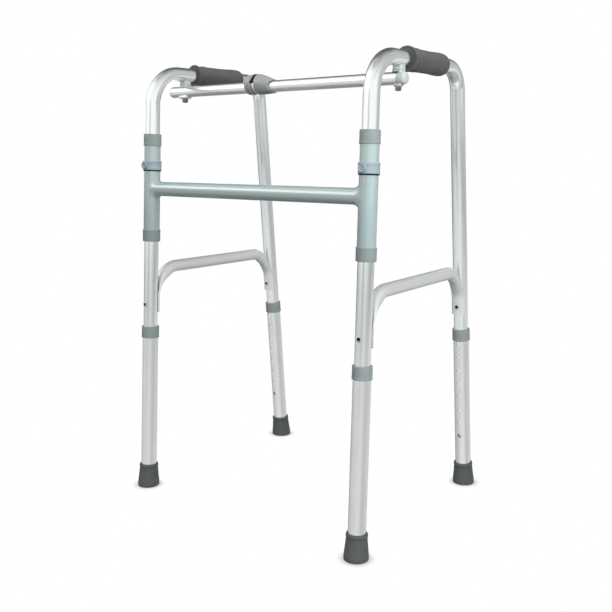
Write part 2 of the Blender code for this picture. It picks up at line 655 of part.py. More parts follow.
def bracket_and_bolt(name, body, tube_space):
    """The saddle block under the handle and the bar's bolt; returns the cutter of its hole."""
    seam = BAR_LEVEL + SEAM_LEVEL
    bottom = seam + FIT_GAP
    under_tube = math.sqrt(TUBE_RADIUS ** 2 - (BRACKET_WIDTH / 2) ** 2)
    top = HANDLE_OVER_PIVOT - under_tube + BRACKET_WRAP
    pivot = at(0.0, PIVOT_SETBACK, 0.0)
    bracket = block(name + "_bracket", (BRACKET_WIDTH, BRACKET_LENGTH, top - bottom), body,
                    pivot @ at(0.0, 0.0, (top + bottom) / 2), PAINT, corner=BRACKET_CORNER)
    inner = TUBE_RADIUS - TUBE_WALL
    head = HANDLE_OVER_PIVOT - math.sqrt(inner ** 2 - BOLT_HEAD_RADIUS ** 2) + 2 * FIT_GAP
    nut_top = BAR_LEVEL - BAR_RADIUS - WASHER_THICKNESS - FIT_GAP
    nut_bottom = nut_top - NUT_HEIGHT
    tail = nut_bottom - BOLT_TAIL
    end = tail if name == "right" else bottom
    turned(name + "_bolt",
           [(0.0, head + BOLT_HEAD_HEIGHT), (BOLT_HEAD_RADIUS, head + BOLT_HEAD_HEIGHT),
            (BOLT_HEAD_RADIUS, head), (BOLT_RADIUS, head), (BOLT_RADIUS, end), (0.0, end)],
           body, pivot, STEEL, sides=SMALL_SIDES)
    bolt_way = rod(name + "_bolt_way", BOLT_RADIUS + FIT_GAP, BAR_LEVEL - 2 * BAR_RADIUS, head,
                   body, pivot)
    cut(bracket, tube_space, bolt_way)
    bar_body = body
    bar_pivot = pivot
    if name == "left":
        bar_body = LEFT_BAR_AXIS
        bar_pivot = from_axis(LEFT_BAR_AXIS, LEFT_PIVOT - FRONT_UP * BAR_LEVEL)
        rod("left_bolt_end", BOLT_RADIUS, tail, seam, bar_body, bar_pivot, STEEL)
    nut = rod(name + "_nut", NUT_RADIUS, nut_bottom, nut_top, bar_body, bar_pivot, STEEL, sides=6)
    cut(nut, rod(name + "_nut_way", BOLT_RADIUS + FIT_GAP, tail, nut_top + NUT_HEIGHT, bar_body,
                 bar_pivot))
    return bolt_way


def bar_half(name, body, pivot, inner_end, outer_end, plug_finish):
    """A half of the upper bar: its tube, its end plug and the two saddles at its pivot."""
    low = min(inner_end, outer_end)
    high = max(inner_end, outer_end)
    axis = from_axis(body, pivot) @ ALONG_X
    tube = pipe(name + "_bar_tube", BAR_RADIUS - TUBE_WALL, BAR_RADIUS, low, high, body, axis,
                ALUMINIUM, sides=BAR_SIDES)
    outwards = math.copysign(1.0, outer_end - inner_end)
    plug_place = from_axis(body, pivot + Vector((outer_end + outwards * FIT_GAP, 0.0, 0.0)))
    plug_place = plug_place @ facing((0.0, 0.0, 0.0), (outwards, 0.0, 0.0), side=(0.0, 0.0, 1.0))
    spigot = BAR_RADIUS - TUBE_WALL - FIT_GAP
    dome = [(BAR_RADIUS * math.sin(turn), PLUG_DOME * math.cos(turn))
            for turn in (0.0, math.radians(30), math.radians(60), math.radians(90))]
    turned(name + "_bar_plug", dome + [(spigot, 0.0), (spigot, -PLUG_SPIGOT), (0.0, -PLUG_SPIGOT)],
           body, plug_place, plug_finish, sides=BAR_SIDES)
    way = rod(name + "_bar_bolt_way", BOLT_RADIUS + FIT_GAP, -2 * BAR_RADIUS, 2 * BAR_RADIUS,
              body, from_axis(body, pivot))
    space = rod(name + "_bar_space", BAR_RADIUS + FIT_GAP, -WASHER_LENGTH, WASHER_LENGTH, body, axis,
                sides=2 * BAR_SIDES)
    top = SEAM_LEVEL
    bottom = BAR_RADIUS - BAR_SADDLE_DROP
    saddle = block(name + "_bar_saddle", (BRACKET_WIDTH, BRACKET_LENGTH, top - bottom), body,
                   from_axis(body, pivot + Vector((0.0, 0.0, (top + bottom) / 2))), PAINT,
                   corner=BRACKET_CORNER)
    rings = []
    for height, share in ((-BAR_RADIUS + WASHER_WRAP, 1.0), (-BAR_RADIUS, 1.0),
                          (-BAR_RADIUS - WASHER_THICKNESS, WASHER_TAPER)):
        x = WASHER_LENGTH / 2 * share
        y = WASHER_WIDTH / 2 * (1.0 + share) / 2
        rings.append([Vector((sx * x, sy * y, height))
                      for sx, sy in ((-1, -1), (1, -1), (1, 1), (-1, 1))])
    washer = lofted(name + "_washer", rings, body, from_axis(body, pivot), PAINT)
    cut(tube, way)
    cut(saddle, space, way)
    cut(washer, space, way)


def knuckles(name, body, reach, levels):
    """Hinge barrels behind the hub, with the arms that tie them to a hub piece."""
    made = []
    for i, (bottom, top) in enumerate(levels):
        made.append(rod(f"{name}_barrel_{i}", KNUCKLE_RADIUS, bottom, top, body,
                        from_axis(body, HINGE_POINT)))
        depth = HINGE_SETBACK - HUB_NECK_RADIUS / 2
        middle = HINGE_POINT + Vector((reach / 2, -depth / 2, (top + bottom) / 2))
        made.append(block(f"{name}_arm_{i}", (abs(reach), depth, top - bottom), body,
                          from_axis(body, middle)))
    return made


def hub_casting(name, body, profile, levels, bar_from, bar_to):
    """A hub piece with its hinge knuckles, bored for the pin and the bar and cut for the window."""
    rise = Vector((0.0, 0.0, HUB_RISE))
    reach = math.copysign(HUB_NECK - 2 * FIT_GAP, bar_to)
    casting = turned(name, profile, body, from_axis(body, HUB_POINT + rise) @ ALONG_X, HUB_METAL)
    join(casting, *knuckles(name, body, reach, levels))
    pin_reach = 3 * KNUCKLE_HEIGHT
    pin_way = rod(name + "_pin_way", HINGE_PIN_RADIUS + FIT_GAP, -pin_reach, pin_reach, body,
                  from_axis(body, HINGE_POINT))
    bar_way = rod(name + "_bar_way", BAR_RADIUS + FIT_GAP, min(bar_from, bar_to), max(bar_from, bar_to),
                  body, from_axis(body, HUB_POINT) @ ALONG_X, sides=TUBE_SIDES)
    window = block(name + "_window", HUB_WINDOW, body,
                   from_axis(body, HUB_POINT + rise) @ Matrix.Rotation(HUB_WINDOW_TURN, 4, "X")
                   @ at(0.0, 0.0, HUB_RADIUS))
    cut(casting, pin_way, bar_way, window)


def hub():
    """The upper bar's hub: a ringed left piece, a right core hinged behind it, and a sleeve."""
    face = FIT_GAP
    edge = HUB_CHAMFER / 2
    middle = KNUCKLE_HEIGHT / 2
    outer = middle + FIT_GAP + KNUCKLE_HEIGHT
    ring_right = -HUB_NECK
    ring_left = ring_right - HUB_RING_WIDTH
    hub_casting("hub_ring", LEFT_BAR_AXIS,
                [(0.0, -face), (HUB_NECK_RADIUS, -face), (HUB_NECK_RADIUS, ring_right),
                 (HUB_RADIUS - edge, ring_right), (HUB_RADIUS, ring_right - edge),
                 (HUB_RADIUS, ring_left + HUB_CHAMFER), (HUB_RADIUS - edge, ring_left), (0.0, ring_left)],
                [(-outer, -middle - FIT_GAP), (middle + FIT_GAP, outer)], -HUB_FACE, 2 * ring_left)
    hub_casting("hub_core", RIGHT_BAR_AXIS,
                [(0.0, HUB_CORE_LENGTH), (HUB_NECK_RADIUS, HUB_CORE_LENGTH), (HUB_NECK_RADIUS, face),
                 (0.0, face)],
                [(-middle, middle)], HUB_FACE, 2 * HUB_CORE_LENGTH)
    rod("hub_pin", HINGE_PIN_RADIUS, -outer, outer, RIGHT_BAR_AXIS,
        from_axis(RIGHT_BAR_AXIS, HINGE_POINT), STEEL)

    start = HUB_NECK
    end = start + HUB_SLEEVE_LENGTH
    rings = []
    for x, radius, rise in ((start, HUB_SLEEVE_RADIUS - edge, HUB_RISE),
                            (start + edge, HUB_SLEEVE_RADIUS, HUB_RISE),
                            (end, HUB_SLEEVE_TIP_RADIUS, 0.0)):
        turns = [math.tau * i / TUBE_SIDES for i in range(TUBE_SIDES)]
        rings.append([Vector((x, radius * math.cos(turn), rise + radius * math.sin(turn)))
                      for turn in turns])
    hub_place = from_axis(RIGHT_BAR_AXIS, HUB_POINT)
    sleeve = lofted("hub_sleeve", rings, RIGHT_BAR_AXIS, hub_place, HUB_METAL)
    bar_space = rod("hub_sleeve_bar_way", BAR_RADIUS + BORE_GAP, 0.0, 2 * end, RIGHT_BAR_AXIS,
                    hub_place @ ALONG_X, sides=TUBE_SIDES)
    core_space = rod("hub_sleeve_core_way", HUB_NECK_RADIUS + BORE_GAP, 0.0, HUB_CORE_LENGTH + FIT_GAP,
                     RIGHT_BAR_AXIS, hub_place @ at(0.0, 0.0, HUB_RISE) @ ALONG_X, sides=TUBE_SIDES)
    notch_place = hub_place @ at(end + HUB_NOTCH_RADIUS - HUB_NOTCH_DEPTH, 0.0, 0.0)
    notch = rod("hub_sleeve_notch", HUB_NOTCH_RADIUS, -2 * HUB_SLEEVE_RADIUS, 2 * HUB_SLEEVE_RADIUS,
                RIGHT_BAR_AXIS, notch_place @ facing((0.0, 0.0, 0.0), (0.0, 1.0, 0.0)), sides=TUBE_SIDES)
    cut(sleeve, bar_space, core_space, notch)


def upper_bar():
    """Both halves of the upper bar and the hub between them."""
    inside_hub = HUB_FACE + 2 * FIT_GAP
    span = (RIGHT_PIVOT - HUB_POINT).x
    bar_half("left", LEFT_BAR_AXIS, LEFT_PIVOT, HUB_FROM_LEFT_PIVOT - inside_hub, -LEFT_OVERHANG,
             ALUMINIUM)
    bar_half("right", RIGHT_BAR_AXIS, RIGHT_PIVOT, -span + inside_hub, RIGHT_OVERHANG, PAINT)
    hub()


def foot_profile():
    """A rubber foot's outline, from its socket's floor over the rim and down to its sole."""
    socket = LOWER_RADIUS + FIT_GAP
    rim_edge = FOOT_RIM_HEIGHT / 4
    rim = FOOT_HEIGHT - FOOT_RIM_HEIGHT
    sole = -FOOT_BOTTOM_RADIUS / 4
    return [(0.0, FOOT_FLOOR), (socket, FOOT_FLOOR), (socket, FOOT_HEIGHT),
            (FOOT_RIM_RADIUS - rim_edge, FOOT_HEIGHT), (FOOT_RIM_RADIUS, FOOT_HEIGHT - rim_edge),
            (FOOT_RIM_RADIUS, rim + rim_edge), (FOOT_TOP_RADIUS, rim),
            (FOOT_TOP_RADIUS + (FOOT_BOTTOM_RADIUS - FOOT_TOP_RADIUS) * 0.35, (rim + FOOT_SKIRT) / 2),
            (FOOT_BOTTOM_RADIUS, FOOT_SKIRT), (FOOT_BOTTOM_RADIUS, sole), (0.0, sole)]


def lower_leg(name, leg, below_floor):
    """An adjustable lower leg: a drilled tube with a collar on top and a rubber foot."""
    if leg == "front":
        place = at(0.0, 0.0, 0.0)
        inward = Vector((0.0, 1.0, 0.0))
    else:
        place = facing(REAR_FOOT, REAR_UP)
        inward = Vector((0.0, -1.0, 0.0))
    body = frame_empty(f"{name}_{leg}_leg_axis", SIDE_AXES[name], place)
    still = Matrix()
    tube = pipe(f"{name}_{leg}_leg_tube", LOWER_BORE, LOWER_RADIUS,
                FOOT_FLOOR + FIT_GAP, LEG_COLLAR_TOP - COLLAR_LIP - FIT_GAP, body, still, ALUMINIUM)
    cut(tube, *[rod(f"{name}_{leg}_hole_{i + 1}", HOLE_RADIUS, LOWER_RADIUS / 2, 2 * LOWER_RADIUS, body,
                    facing((0.0, 0.0, FIRST_HOLE - i * HOLE_PITCH), inward))
                for i in range(HOLE_COUNT)])
    turned(f"{name}_{leg}_leg_collar",
           collar_profile(LOWER_RADIUS, LEG_COLLAR_WALL, LEG_COLLAR_BOTTOM, LEG_COLLAR_TOP, True),
           body, still, COLLAR_PLASTIC, closed=True)
    foot = turned(f"{name}_{leg}_foot", foot_profile(), body, still, FOOT_RUBBER)
    cut(foot, below_floor)


front_frame()
side_frame("left")
side_frame("right")
upper_bar()
floor_depth = 0.02
floor_reach = 4 * AXIS_SPACING
floor_cutter = block("below_floor", (floor_reach, floor_reach, floor_depth), None,
                     at(0.0, 0.0, -floor_depth / 2))
for side_name in SIDES:
    for leg_name in ("front", "rear"):
        lower_leg(side_name, leg_name, floor_cutter)
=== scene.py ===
"""A folding walking frame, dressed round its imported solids, in metres, +Z up."""

import math

import bmesh
import bpy
from mathutils import Matrix, Vector


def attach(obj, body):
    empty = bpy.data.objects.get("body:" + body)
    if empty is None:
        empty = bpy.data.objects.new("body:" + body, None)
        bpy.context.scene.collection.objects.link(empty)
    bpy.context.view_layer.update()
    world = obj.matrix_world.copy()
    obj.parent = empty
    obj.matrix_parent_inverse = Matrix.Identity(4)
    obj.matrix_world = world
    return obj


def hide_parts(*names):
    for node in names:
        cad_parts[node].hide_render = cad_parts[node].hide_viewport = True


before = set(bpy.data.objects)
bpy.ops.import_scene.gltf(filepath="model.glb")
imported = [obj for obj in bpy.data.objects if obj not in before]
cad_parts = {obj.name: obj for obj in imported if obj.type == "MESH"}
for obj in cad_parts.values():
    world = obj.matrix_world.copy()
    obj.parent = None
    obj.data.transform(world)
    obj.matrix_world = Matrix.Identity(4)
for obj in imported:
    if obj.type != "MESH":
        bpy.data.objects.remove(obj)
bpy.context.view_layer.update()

# Stance of the walker, as in the solids
AXIS_SPACING = 0.4736
FRONT_LEAN = math.radians(2.53)
TOE_IN = math.radians(1.94)
HANDLE_HEIGHT = 0.7630
REAR_LEG_AT_FLOOR = 0.3754
REAR_LEG_SLOPE = 0.1305

# Tubes and clearances
TUBE_RADIUS = 0.0127
TUBE_WALL = 0.0012
LOWER_BORE = 0.0131
LOWER_RADIUS = 0.0141
SLEEVE_RADIUS = 0.0145
BAR_RADIUS = 0.0100
BRACE_RADIUS = 0.0108
CROSSBAR_RADIUS = 0.0127
FRONT_BEND = 0.060
REAR_BEND = 0.040
BRACE_FRONT_BEND = 0.036
BRACE_REAR_BEND = 0.028
GAP = 0.0003
BORE_GAP = 0.00035

# Front frame; its heights are counted down from the handle's bend and from the sleeve's top
SLEEVE_BELOW_BEND = 0.0505
SLEEVE_LENGTH = 0.1945
CROSSBAR_BELOW_SLEEVE_TOP = 0.0985
RING_BELOW_SLEEVE_TOP = 0.0565
COLLAR_HEIGHT = 0.0210
COLLAR_LIP = 0.0040
COLLAR_BEAD = 0.0003
SLEEVE_COLLAR_WALL = 0.0013
WELD_ALONG = 0.0105
WELD_AROUND = 0.0060
WELD_SUNK = 0.0008
WELD_RIPPLES = 20
WELD_RIPPLE_SHARE = 0.05
POST_GAP = 0.0001
LOCK_RING_WIDTH = 0.0165
LOCK_RING_WALL = 0.0019
LOCK_RING_OPENING = 0.0180
LOCK_RING_GROOVE = 0.0004
# A black band under each lock ring is painted shadow, the shade in the gap below the ring
SHADOW_BAND_WALL = 0.0012
SHADOW_BAND_SHOWN = 0.0020
PEG_RADIUS = 0.0022
PEG_WAY_RADIUS = 0.0025
PEG_KNOB_RADIUS = 0.0068

# Side braces and their rivets
BRACE_BELOW_SLEEVE = 0.0515
BRACE_RISE = 0.0035
FRONT_RIVET_DROP = 0.0645
REAR_RIVET_DROP = 0.0650
BRACE_TAIL = 0.0150
PRESSED_THICKNESS = 0.0026
PRESSED_WRAP = math.radians(57)
PRESSED_IN_FRONT = 0.0480
PRESSED_BEHIND = 0.0460
RIVET_SIZES = {"Head Radius": 0.0050, "Head Height": 0.0022, "Rim Height": 0.0008, "Dish Radius": 0.0040}
# Radius of the black disc in each rivet head, which paints the shade inside the rivet's bore
RIVET_BORE_SHADE_RADIUS = 0.0030

# Adjustable legs, with their buttons and feet
COLLAR_BELOW_BRACE = 0.0260
LEG_COLLAR_WALL = 0.0016
HOLE_PITCH = 0.0254
HOLE_COUNT = 8
HOLE_RADIUS = 0.0036
FIRST_HOLE_DROP = 0.0050
TUBE_PAST_BUTTON = 0.0220
BUTTON_LENGTH = 0.0046
LEAF_THICKNESS = 0.0008
LEAF_WIDTH = 0.0080
LEAF_LENGTH = 0.0350
LEAF_DROP = 0.0120
FOOT_FLOOR = 0.0110
FOOT_HEIGHT = 0.0410
FOOT_RIM_RADIUS = 0.0173
FOOT_BOTTOM_RADIUS = 0.0196
FOOT_EDGE = 0.0010
SOLE_SIZES = {"Ring Radius": 0.0135, "Dimples": 14, "Dimple Radius": 0.0016, "Dimple Depth": 0.0012}

# Handles, and the folding upper bar with its pivots
GRIP_FRONT = 0.0975
GRIP_REAR = 0.2165
BAR_BELOW_HANDLE = 0.0312
PIVOT_SETBACK = 0.0770
LEFT_OVERHANG = 0.0310
RIGHT_OVERHANG = 0.0100
PLUG_DOME = 0.0050
PLUG_SPIGOT = 0.0050
CAP_START = 0.0005
VENT_RADIUS = 0.0010
BLOCK_WIDTH = 0.0165
BLOCK_DEPTH = 0.0150
BRACKET_CORNER = 0.0030
BRACKET_WRAP = 0.0009
SEAM_ABOVE_BAR = 0.0020
SADDLE_DROP = 0.0034
SADDLE_CORNER = 0.0024
BOLT_RADIUS = 0.0030
BOLT_WAY_RADIUS = 0.0033
BOLT_HEAD_RADIUS = 0.0050
BOLT_HEAD_HEIGHT = 0.0030
BOLT_TAIL = 0.0006
NUT_RADIUS = 0.0056
NUT_BORE = 0.0031
NUT_HEIGHTS = {"left": 0.0060, "right": 0.0052}
WASHER_THICKNESS = 0.0032
WASHER_WRAP = 0.0020
WASHER_SIZES = {"left": (0.0240, 0.0150), "right": (0.0150, 0.0115)}

# Hub of the upper bar; the black sheet that paints the shade inside each window lies between two distances
# from the hub's middle
HUB_FROM_LEFT_PIVOT = 0.1800
HUB_RISE = 0.0048
HUB_RADIUS = 0.0174
HUB_GROOVE = 0.0004
HUB_SETBACK = 0.0216
HUB_NECK_RADIUS = 0.0160
HUB_NECK = 0.0050
HUB_RING_WIDTH = 0.0123
HUB_CORE = 0.0095
HUB_BAR_ENDS = 0.0030
KNUCKLE_RADIUS = 0.0040
KNUCKLE_WIDTH = 0.0080
KNUCKLE_ARM = 0.0044
KNUCKLE_ARM_START = 0.0080
PIN_RADIUS = 0.0018
PIN_WAY_RADIUS = 0.0021
WINDOW_TURN = math.radians(50)
WINDOW_SIZE = (0.0076, 0.0200, 0.0150)
WINDOW_SHADE_SHEET = (0.0004, 0.0037)
CONE_START = 0.0050
CONE_LENGTH = 0.0337
CONE_RADIUS = 0.0179
CONE_END_RADIUS = 0.0119
CONE_CUT_RADIUS = 0.0095
CONE_CUT_DEPTH = 0.0055

# Light: what the floor gives back and how far its contact shadows reach, the grey that plain
# surfaces see below and above, and each lamp's power, width, height, spot and aim
FLOOR_BOUNCE = 0.03
FLOOR_SHADE_REACH = 0.012
FLOOR_RADIUS = 1.7
ROOM_LOW = 0.04
ROOM_HIGH = 0.36
LAMPS = (("front_panel", 18.0, 1.20, 0.80, (1.25, -1.70, 1.15), (0.0, 0.0, 0.50)),
         ("right_panel", 8.0, 0.50, 1.00, (1.30, -0.35, 0.75), (0.24, -0.1, 0.50)),
         ("left_panel", 1.2, 0.80, 1.20, (-1.50, -1.20, 0.90), (-0.20, 0.0, 0.50)),
         ("top_panel", 10.0, 0.90, 0.90, (0.15, -0.15, 2.00), (0.15, -0.1, 0.0)))

# The room that shiny surfaces see. A row is blended over the rows before it between two heights in
# degrees, and holds grey levels by the bearing in degrees, anticlockwise from +X.
ROOM = (
    (None, None,
     ((-180, 0.27), (-150, 0.30), (-120, 0.40), (-30, 0.42), (0, 0.42), (50, 0.55), (110, 0.50), (140, 0.25),
      (180, 0.27))),
    (-54, -46,
     ((-180, 0.27), (-145, 0.30), (-120, 0.75), (-95, 1.15), (-35, 1.15), (-15, 0.75), (2, 0.50), (50, 0.55),
      (110, 0.50), (140, 0.25), (180, 0.27))),
    (-33, -27,
     ((-180, 0.68), (-140, 0.80), (-60, 0.90), (-38, 0.85), (-22, 0.70), (2, 0.68), (25, 0.76), (60, 0.84),
      (100, 0.78), (122, 0.42), (160, 0.34), (180, 0.68))),
    (-11, -8,
     ((-180, 0.40), (-142, 0.54), (-120, 0.60), (-92, 0.45), (-77, 0.45), (-55, 0.59), (-40, 0.60),
      (-19, 0.47), (0, 0.35), (16, 0.33), (34, 0.42), (55, 0.55), (90, 0.55), (110, 0.26), (140, 0.14),
      (165, 0.30), (180, 0.40))),
    (-4, 1,
     ((-180, 0.95), (-140, 1.15), (-98, 1.18), (-91, 0.25), (-83, 0.25), (-76, 1.18), (10, 1.15), (24, 0.92),
      (36, 0.62), (47, 0.58), (62, 0.64), (95, 0.50), (112, 0.20), (145, 0.12), (160, 0.55), (180, 0.95))),
    (6, 14,
     ((-180, 1.1), (-104, 1.1), (8, 1.1), (20, 0.88), (36, 0.60), (70, 0.56), (92, 0.36), (112, 0.10),
      (154, 0.10), (166, 0.7), (180, 1.1))),
    (16, 20,
     ((-180, 1.1), (-160, 1.1), (-148, 4.0), (-116, 4.0), (-104, 1.1), (6, 1.1), (18, 0.85), (34, 0.60),
      (70, 0.56), (92, 0.36), (112, 0.12), (154, 0.12), (166, 0.7), (180, 1.1))),
    (30, 36,
     ((-180, 0.9), (-162, 1.1), (-148, 3.2), (-116, 3.2), (-100, 1.1), (0, 0.8), (50, 0.58), (80, 0.44),
      (104, 0.18), (120, 0.20), (155, 0.28), (170, 0.60), (180, 0.9))),
    (38, 44,
     ((-180, 0.7), (-150, 1.1), (-60, 1.1), (0, 0.7), (45, 0.52), (60, 0.42), (72, 0.30), (99, 0.11),
      (125, 0.10), (150, 0.14), (168, 0.35), (180, 0.7))),
    (56, 66,
     ((-180, 0.50), (-60, 0.60), (60, 0.35), (120, 0.20), (160, 0.25), (180, 0.50))))

# Camera: its focal length and shift in picture points, its spot beside the frame's middle, its turn
PICTURE_SIDE = 612.0
FOCAL_LENGTH = 834.3
PICTURE_SHIFT = (-1.5, -51.25)
CAMERA_SPOT = (0.9263, -1.1915, 0.6166)
CAMERA_TURN = (math.radians(83.10), 0.0, math.radians(37.99))

# How finely shapes are drawn, and how far cutters that go right through reach to each side
SIDES = 64
SMALL_SIDES = 32
BRACE_SIDES = 48
WELD_SIDES = 96
BEND_STEPS = 20
TUBE_BEND_STEPS = 32
BRACE_END_STEPS = 7
CORNER_STEPS = 4
WELD_STEPS = 8
MERGE_DISTANCE = 0.000001
EASED_ANGLE = math.radians(40)
SHARP_ANGLE = math.radians(32)
THROUGH = 0.03
BOLT_THROUGH = 0.02
PIN_THROUGH = 0.024
CONE_THROUGH = 0.036
POST_THROUGH = 0.05

# Heights along the legs
SLEEVE_TOP = HANDLE_HEIGHT - FRONT_BEND - SLEEVE_BELOW_BEND
SLEEVE_BOTTOM = SLEEVE_TOP - SLEEVE_LENGTH
CROSSBAR_HEIGHT = SLEEVE_TOP - CROSSBAR_BELOW_SLEEVE_TOP
LOCK_RING_HEIGHT = SLEEVE_TOP - RING_BELOW_SLEEVE_TOP
BRACE_FRONT_HEIGHT = SLEEVE_BOTTOM - BRACE_BELOW_SLEEVE
BRACE_REAR_HEIGHT = BRACE_FRONT_HEIGHT + BRACE_RISE
FRONT_RIVET_HEIGHT = BRACE_FRONT_HEIGHT - FRONT_RIVET_DROP
REAR_RIVET_HEIGHT = BRACE_REAR_HEIGHT - REAR_RIVET_DROP
LEG_COLLAR_TOP = FRONT_RIVET_HEIGHT - BRACE_TAIL - COLLAR_BELOW_BRACE
FIRST_HOLE = LEG_COLLAR_TOP - COLLAR_HEIGHT - FIRST_HOLE_DROP
BUTTON_HEIGHT = FIRST_HOLE - (HOLE_COUNT - 1) * HOLE_PITCH
UPPER_TUBE_END = BUTTON_HEIGHT - TUBE_PAST_BUTTON

# Sizes for the trees that grow tubes
BENT_TUBE_SIZES = {"Radius": TUBE_RADIUS, "Sides": SIDES, "Bend Steps": TUBE_BEND_STEPS}
LEG_TUBE_SIZES = {
    "Radius": LOWER_RADIUS, "Bore": LOWER_BORE, "Bottom": FOOT_FLOOR + GAP,
    "Top": LEG_COLLAR_TOP - COLLAR_LIP - GAP, "Hole Radius": HOLE_RADIUS, "Hole Pitch": HOLE_PITCH,
    "First Hole": FIRST_HOLE, "Holes": HOLE_COUNT, "Sides": SIDES, "Hole Sides": 24}


def at(x, y, z):
    """A placement that only moves."""
    return Matrix.Translation((x, y, z))


def facing(origin, direction, side=(1.0, 0.0, 0.0)):
    """A placement whose Z runs along a direction, with its X as near as possible to side."""
    z = Vector(direction).normalized()
    x = Vector(side)
    x = (x - z * x.dot(z)).normalized()
    place = Matrix((x, z.cross(x), z)).transposed().to_4x4()
    place.translation = Vector(origin)
    return place


def side_point(setback, height):
    """A point of a side frame: its level distance behind the front leg and its height."""
    y = setback * math.cos(FRONT_LEAN)
    z = height / math.cos(FRONT_LEAN) + setback * math.sin(FRONT_LEAN)
    return Vector((0.0, y, z))


def rear_leg_point(height):
    """A point of the rear leg's middle line at a height."""
    return side_point(REAR_LEG_AT_FLOOR - REAR_LEG_SLOPE * height, height)


ALONG_X = Matrix.Rotation(math.radians(90), 4, "Y")
FRONT_UP = Vector((0.0, 0.0, 1.0))
REAR_FOOT = rear_leg_point(0.0)
REAR_UP = (rear_leg_point(1.0) - REAR_FOOT).normalized()
REAR_FORWARD = Vector((0.0, -REAR_UP.z, REAR_UP.y))
HANDLE_BACK = Vector((0.0, math.cos(FRONT_LEAN), math.sin(FRONT_LEAN)))
BAR_LEVEL = side_point(PIVOT_SETBACK, HANDLE_HEIGHT - BAR_BELOW_HANDLE).z
HANDLE_OVER_PIVOT = side_point(PIVOT_SETBACK, HANDLE_HEIGHT).z
SEAM_LEVEL = BAR_RADIUS + SEAM_ABOVE_BAR
ORIGIN = (0.0, 0.0, 0.0)

BAR_REACH = AXIS_SPACING / 2 - PIVOT_SETBACK * math.sin(TOE_IN) + LEFT_OVERHANG + GAP + PLUG_DOME
FOOT_REACH = AXIS_SPACING / 2 + FOOT_BOTTOM_RADIUS
MIDDLE_SHIFT = (BAR_REACH - FOOT_REACH) / 2
WALKER = (at(MIDDLE_SHIFT, -REAR_LEG_AT_FLOOR * math.cos(TOE_IN) / 2, 0.0)
          @ Matrix.Rotation(-FRONT_LEAN, 4, "X"))
SIGNS = {"left": -1, "right": 1}
SIDE_PLACES = {
    name: WALKER @ at(sign * AXIS_SPACING / 2, 0.0, 0.0) @ Matrix.Rotation(sign * TOE_IN, 4, "Z")
    for name, sign in SIGNS.items()}
LEGS = {"front": (Vector((0.0, 0.0, 0.0)), FRONT_UP, Vector((0.0, 1.0, 0.0)), FRONT_RIVET_HEIGHT),
        "rear": (REAR_FOOT, REAR_UP, REAR_FORWARD, REAR_RIVET_HEIGHT)}


def pivot_point(sign):
    """Where a bar pivot stands in the front frame's axes, at the bar's level."""
    x = sign * (AXIS_SPACING / 2 - PIVOT_SETBACK * math.sin(TOE_IN))
    return Vector((x, PIVOT_SETBACK * math.cos(TOE_IN), BAR_LEVEL))


LEFT_PIVOT = pivot_point(-1)
RIGHT_PIVOT = pivot_point(1)
HUB_POINT = LEFT_PIVOT + Vector((HUB_FROM_LEFT_PIVOT, 0.0, 0.0))
HINGE_POINT = HUB_POINT + Vector((0.0, HUB_SETBACK, HUB_RISE))
AHEAD = facing(ORIGIN, (0.0, -1.0, 0.0))


# Node trees

def node(tree, kind, inputs=None, **settings):
    """Adds a node with its settings; an input is given as a value or as another node's output."""
    made = tree.nodes.new(kind)
    for key, value in settings.items():
        setattr(made, key, value)
    for key, value in (inputs or {}).items():
        if isinstance(value, bpy.types.NodeSocket):
            tree.links.new(value, made.inputs[key])
        else:
            made.inputs[key].default_value = value
    return made


def worked(tree, operation, *values):
    """The result of one operation on values or on other nodes' outputs."""
    return node(tree, "ShaderNodeMath", dict(enumerate(values)), operation=operation).outputs[0]


def noise(tree, skin, spacing, detail=2.0, distortion=0.0):
    """A noise whose patches are spaced so far apart, in metres, along the skin's three axes."""
    scaled = node(tree, "ShaderNodeVectorMath", {0: skin, 1: [1.0 / step for step in spacing]},
                  operation="MULTIPLY")
    made = node(tree, "ShaderNodeTexNoise",
                {"Vector": scaled.outputs[0], "Scale": 1.0, "Detail": detail,
                 "Roughness": 0.55, "Distortion": distortion})
    return made.outputs["Fac"]


def spread(tree, value, low, high, start=0.3, end=0.7):
    """A value carried from one range, which is a noise's usual one if none is given, to another."""
    made = node(tree, "ShaderNodeMapRange",
                {"Value": value, "From Min": start, "From Max": end, "To Min": low, "To Max": high})
    return made.outputs["Result"]


def blend_colours(tree, share, first, second):
    """A colour between two others, by a share from 0 to 1."""
    made = node(tree, "ShaderNodeMix", {0: share}, data_type="RGBA")
    for socket, colour in ((6, first), (7, second)):
        if isinstance(colour, bpy.types.NodeSocket):
            tree.links.new(colour, made.inputs[socket])
        else:
            made.inputs[socket].default_value = (*colour, 1.0)
    return made.outputs[2]


def finish(name, dark, light, **values):
    """A new material; its pattern follows the attribute that each piece carries along its form."""
    made = bpy.data.materials.new(name)
    made.use_nodes = True
    made.diffuse_color = (*light, 1.0)
    tree = made.node_tree
    shader = tree.nodes["Principled BSDF"]
    for key, value in values.items():
        shader.inputs[key.replace("_", " ")].default_value = value
    skin = node(tree, "ShaderNodeAttribute", attribute_name="skin").outputs["Vector"]
    wide = noise(tree, skin, (0.03, 0.03, 0.06), detail=3.0)
    base = blend_colours(tree, spread(tree, wide, 0.0, 1.0), dark, light)
    tree.links.new(base, shader.inputs["Base Color"])
    return made, tree, shader, skin


def raise_surface(tree, shader, height, distance, strength):
    """Bumps the surface by a height in metres."""
    bump = node(tree, "ShaderNodeBump", {"Height": height, "Distance": distance, "Strength": strength})
    tree.links.new(bump.outputs["Normal"], shader.inputs["Normal"])


